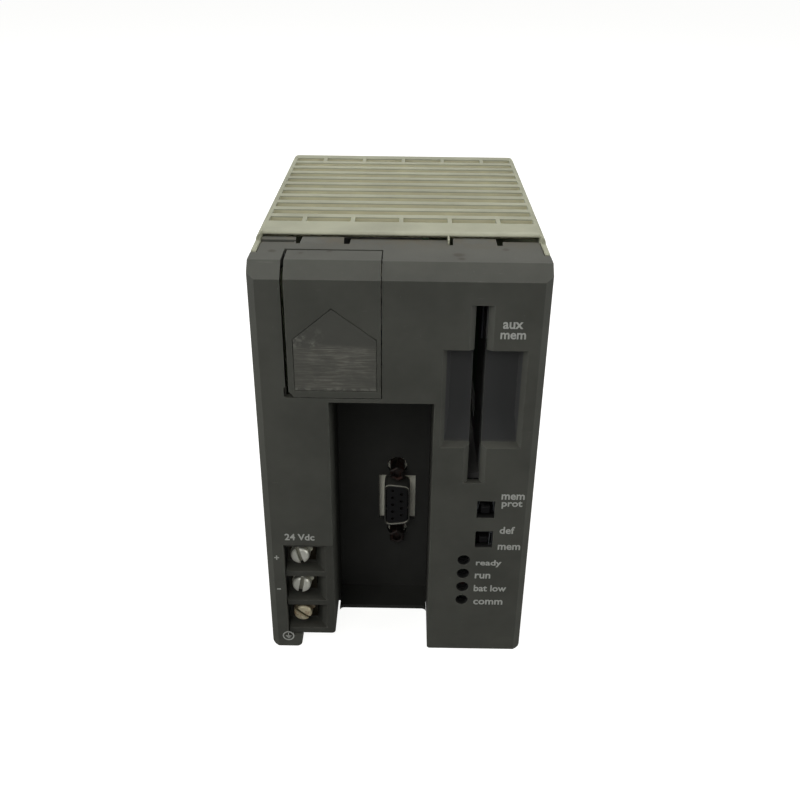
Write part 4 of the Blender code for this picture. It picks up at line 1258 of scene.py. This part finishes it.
@dataclass
class Legends:
    """What is printed on the bezel."""

    shop: Workshop
    words: tuple[Legend, ...] = (
        Legend("aux", 27.5, 32.9, 113.3, 115.3),
        Legend("mem", 27.0, 33.8, 110.3, 112.2),
        Legend("mem", 30.6, 37.4, 58.6, 60.5),
        Legend("prot", 30.8, 36.9, 55.4, 58.1),
        Legend("def", 30.8, 35.3, 46.2, 48.8),
        Legend("mem", 30.6, 37.4, 40.2, 42.1),
        Legend("ready", 24.3, 32.1, 33.5, 36.2),
        Legend("run", 24.2, 29.0, 29.0, 30.9),
        Legend("bat low", 24.1, 34.2, 23.9, 26.4),
        Legend("comm", 24.2, 33.4, 18.6, 20.5),
        Legend("24 Vdc", -34.0, -25.0, 42.6, 45.0),
        Legend("+", -37.6, -36.1, 35.1, 36.7),
        Legend("-", -37.4, -36.2, 23.4, 23.8),
    )

    def build(self) -> list[Object]:
        """Makes the words and the earth mark."""
        words = self.shop.lettering("printed_words", self.words)
        ink = self.shop.finishes.INK
        return [words, self.shop.piece("earth_mark", self.earth(), ink, HOUSING, Slot.BEZEL)]

    @staticmethod
    def earth(x: float = -34.73, z: float = 4.25) -> Surface:
        """The earth mark: a flat ring of radius 1.5 to 1.85, with an upright and three bars in it."""
        skin = turned((1.5, 1.5, 1.85, 1.85), (0.02, -0.04, -0.04, 0.02), ring=True)
        bars = ((0.12, 0.0, 1.1), (0.9, -0.1, 0.12), (0.6, -0.55, -0.33), (0.3, -1.0, -0.78))
        for half, low, high in bars:
            skin = skin + pillow_block((-half, -0.04, low), (half, 0.02, high), 0.02)
        return skin.moved(x, 0.0, z)


@dataclass
class Interior:
    """The boards, their parts and the bus connector."""

    shop: Workshop

    def dress(self) -> None:
        """Refinishes the inner nodes."""
        shop, finishes = self.shop, self.shop.finishes
        boards = ("main_board", "power_board", "memory_board", "indicator_board")
        spacers = (f"board_spacer_{i}" for i in range(1, 5))
        shop.refinish(finishes.BOARD, *boards)
        shop.refinish(finishes.BLACK, "cpu_chip", "rom_chip", "ram_chip", "bus_connector", *spacers)
        shop.refinish(finishes.CELL, "capacitor_1", "capacitor_2")
        shop.refinish(finishes.SCREW, "supply_transformer")
        shop.refinish(finishes.ALUMINIUM, "heat_sink")


@dataclass
class Studio:
    """The floor, the lights and the camera."""

    lens: float = 40.33
    eye: Place = (0.001813, -0.274256, 0.209204)
    right: Place = (0.99987942, 0.0117892, 0.0101079)
    up: Place = (-0.01448966, 0.47412237, 0.88033972)
    back: Place = (0.00558612, -0.88038003, 0.47423602)
    sensor: float = 36.0
    room: float = 9.0
    floor_height: float = -2e-5
    ambient: float = 0.12
    paper: Colour = (1.0, 1.0, 0.99)
    lights: tuple[tuple[str, Place, Place, float, float], ...] = (
        ("overhead", (0.0, 0.42, 1.1), (0.0, 0.0, 0.05), 0.9, 7.4),
        ("front_fill", (-0.12, -0.46, 0.40), (-0.01, 0.0, 0.10), 0.3, 0.55),
        ("left_side", (-1.0, -0.28, 0.42), (0.0, 0.0, 0.08), 0.7, 6.4),
        ("right_side", (1.0, -0.28, 0.42), (0.0, 0.0, 0.07), 0.7, 6.0),
    )

    def build(self) -> None:
        """Sets up everything that isn't the module."""
        self.add_sheet("floor", self.floor_surface(), 0.35, 0.93)
        self.add_sheet("backdrop", self.backdrop_surface(), 0.1, 1.0)
        self.add_camera()
        for light in self.lights:
            self.add_light(*light)
        world = bpy.data.worlds.new("studio")
        bpy.context.scene.world = world
        world.use_nodes = True
        background = world.node_tree.nodes["Background"]
        background.inputs["Color"].default_value = (*self.paper, 1.0)
        background.inputs["Strength"].default_value = self.ambient
        bpy.context.scene.view_settings.view_transform = "Standard"

    def floor_surface(self) -> Surface:
        """A disc just under the feet: rings of radius R t^3, so that it is finest under the module."""
        return self.rings(np.linspace(0, 1, 16) ** 3, np.full(16, self.floor_height / self.room))

    def backdrop_surface(self) -> Surface:
        """Half a sphere of the room's radius over the floor."""
        up = np.linspace(0, np.pi / 2, 16)
        return self.rings(np.cos(up), np.sin(up))

    def rings(self, radii: np.ndarray, heights: np.ndarray) -> Surface:
        """Rings about the upright axis, given as shares of the room's radius, in metres."""
        angle = np.linspace(0, 2 * np.pi, 48, endpoint=False)
        x, y = radii[:, None] * np.cos(angle), radii[:, None] * np.sin(angle)
        z = np.repeat(heights[:, None], len(angle), axis=1)
        return grid_surface(self.room * np.stack((x, y, z), axis=-1), round_columns=True)

    def add_sheet(self, name: str, surface: Surface, albedo: float, glow: float) -> None:
        """A plain pale sheet that lights nothing but itself.

        Args:
            name: The sheet's name.
            surface: Its skin, with places in metres.
            albedo: How much light it reflects, which sets how dark a shadow on it is.
            glow: How bright it is without light.
        """
        mesh = bpy.data.meshes.new(name)
        mesh.from_pydata(surface.places, [], surface.faces.tolist())
        mesh.validate()
        sheet = bpy.data.objects.new(name, mesh)
        g = Graph(name + "_paper")
        g.feed(g.shader.inputs["Emission Color"], self.paper)
        colour = shaded(self.paper, albedo)
        mesh.materials.append(g.finish(colour, 1.0, emission_strength=glow, specular_ior_level=0.0))
        sheet.visible_diffuse = False
        sheet.visible_glossy = False
        sheet.visible_shadow = False
        bpy.context.scene.collection.objects.link(sheet)

    def add_camera(self) -> None:
        """The camera, from its eye point and its three axes."""
        data = bpy.data.cameras.new("camera")
        data.lens = self.lens
        data.sensor_width = self.sensor
        data.clip_start = 0.01
        camera = bpy.data.objects.new("camera", data)
        turn = Matrix((self.right, self.up, self.back)).transposed().to_4x4()
        camera.matrix_world = Matrix.Translation(self.eye) @ turn
        bpy.context.scene.collection.objects.link(camera)
        bpy.context.scene.camera = camera

    @staticmethod
    def add_light(name: str, place: Place, target: Place, size: float, power: float) -> None:
        """One square soft light aimed at a target."""
        data = bpy.data.lights.new(name, "AREA")
        data.size = size
        data.energy = power
        light = bpy.data.objects.new(name, data)
        light.location = place
        aim = Vector(target) - Vector(place)
        light.rotation_euler = aim.to_track_quat("-Z", "Y").to_euler()
        bpy.context.scene.collection.objects.link(light)


def main() -> None:
    """Builds the studio and every sub-assembly in order."""
    logging.basicConfig(level=logging.INFO, format="%(message)s")
    shop = Workshop(Finishes())
    Studio().build()
    door = BatteryDoor(shop)
    others = [kind(shop) for kind in (SupplyTerminals, SerialPort, Controls, Legends)]
    for part in (Housing(shop), door, *others):
        for piece in part.build():
            LOG.info("%s: %s, %d faces", type(part).__name__, piece.name, len(piece.data.polygons))
    door.dress()
    Interior(shop).dress()


if __name__ == "__main__":
    main()
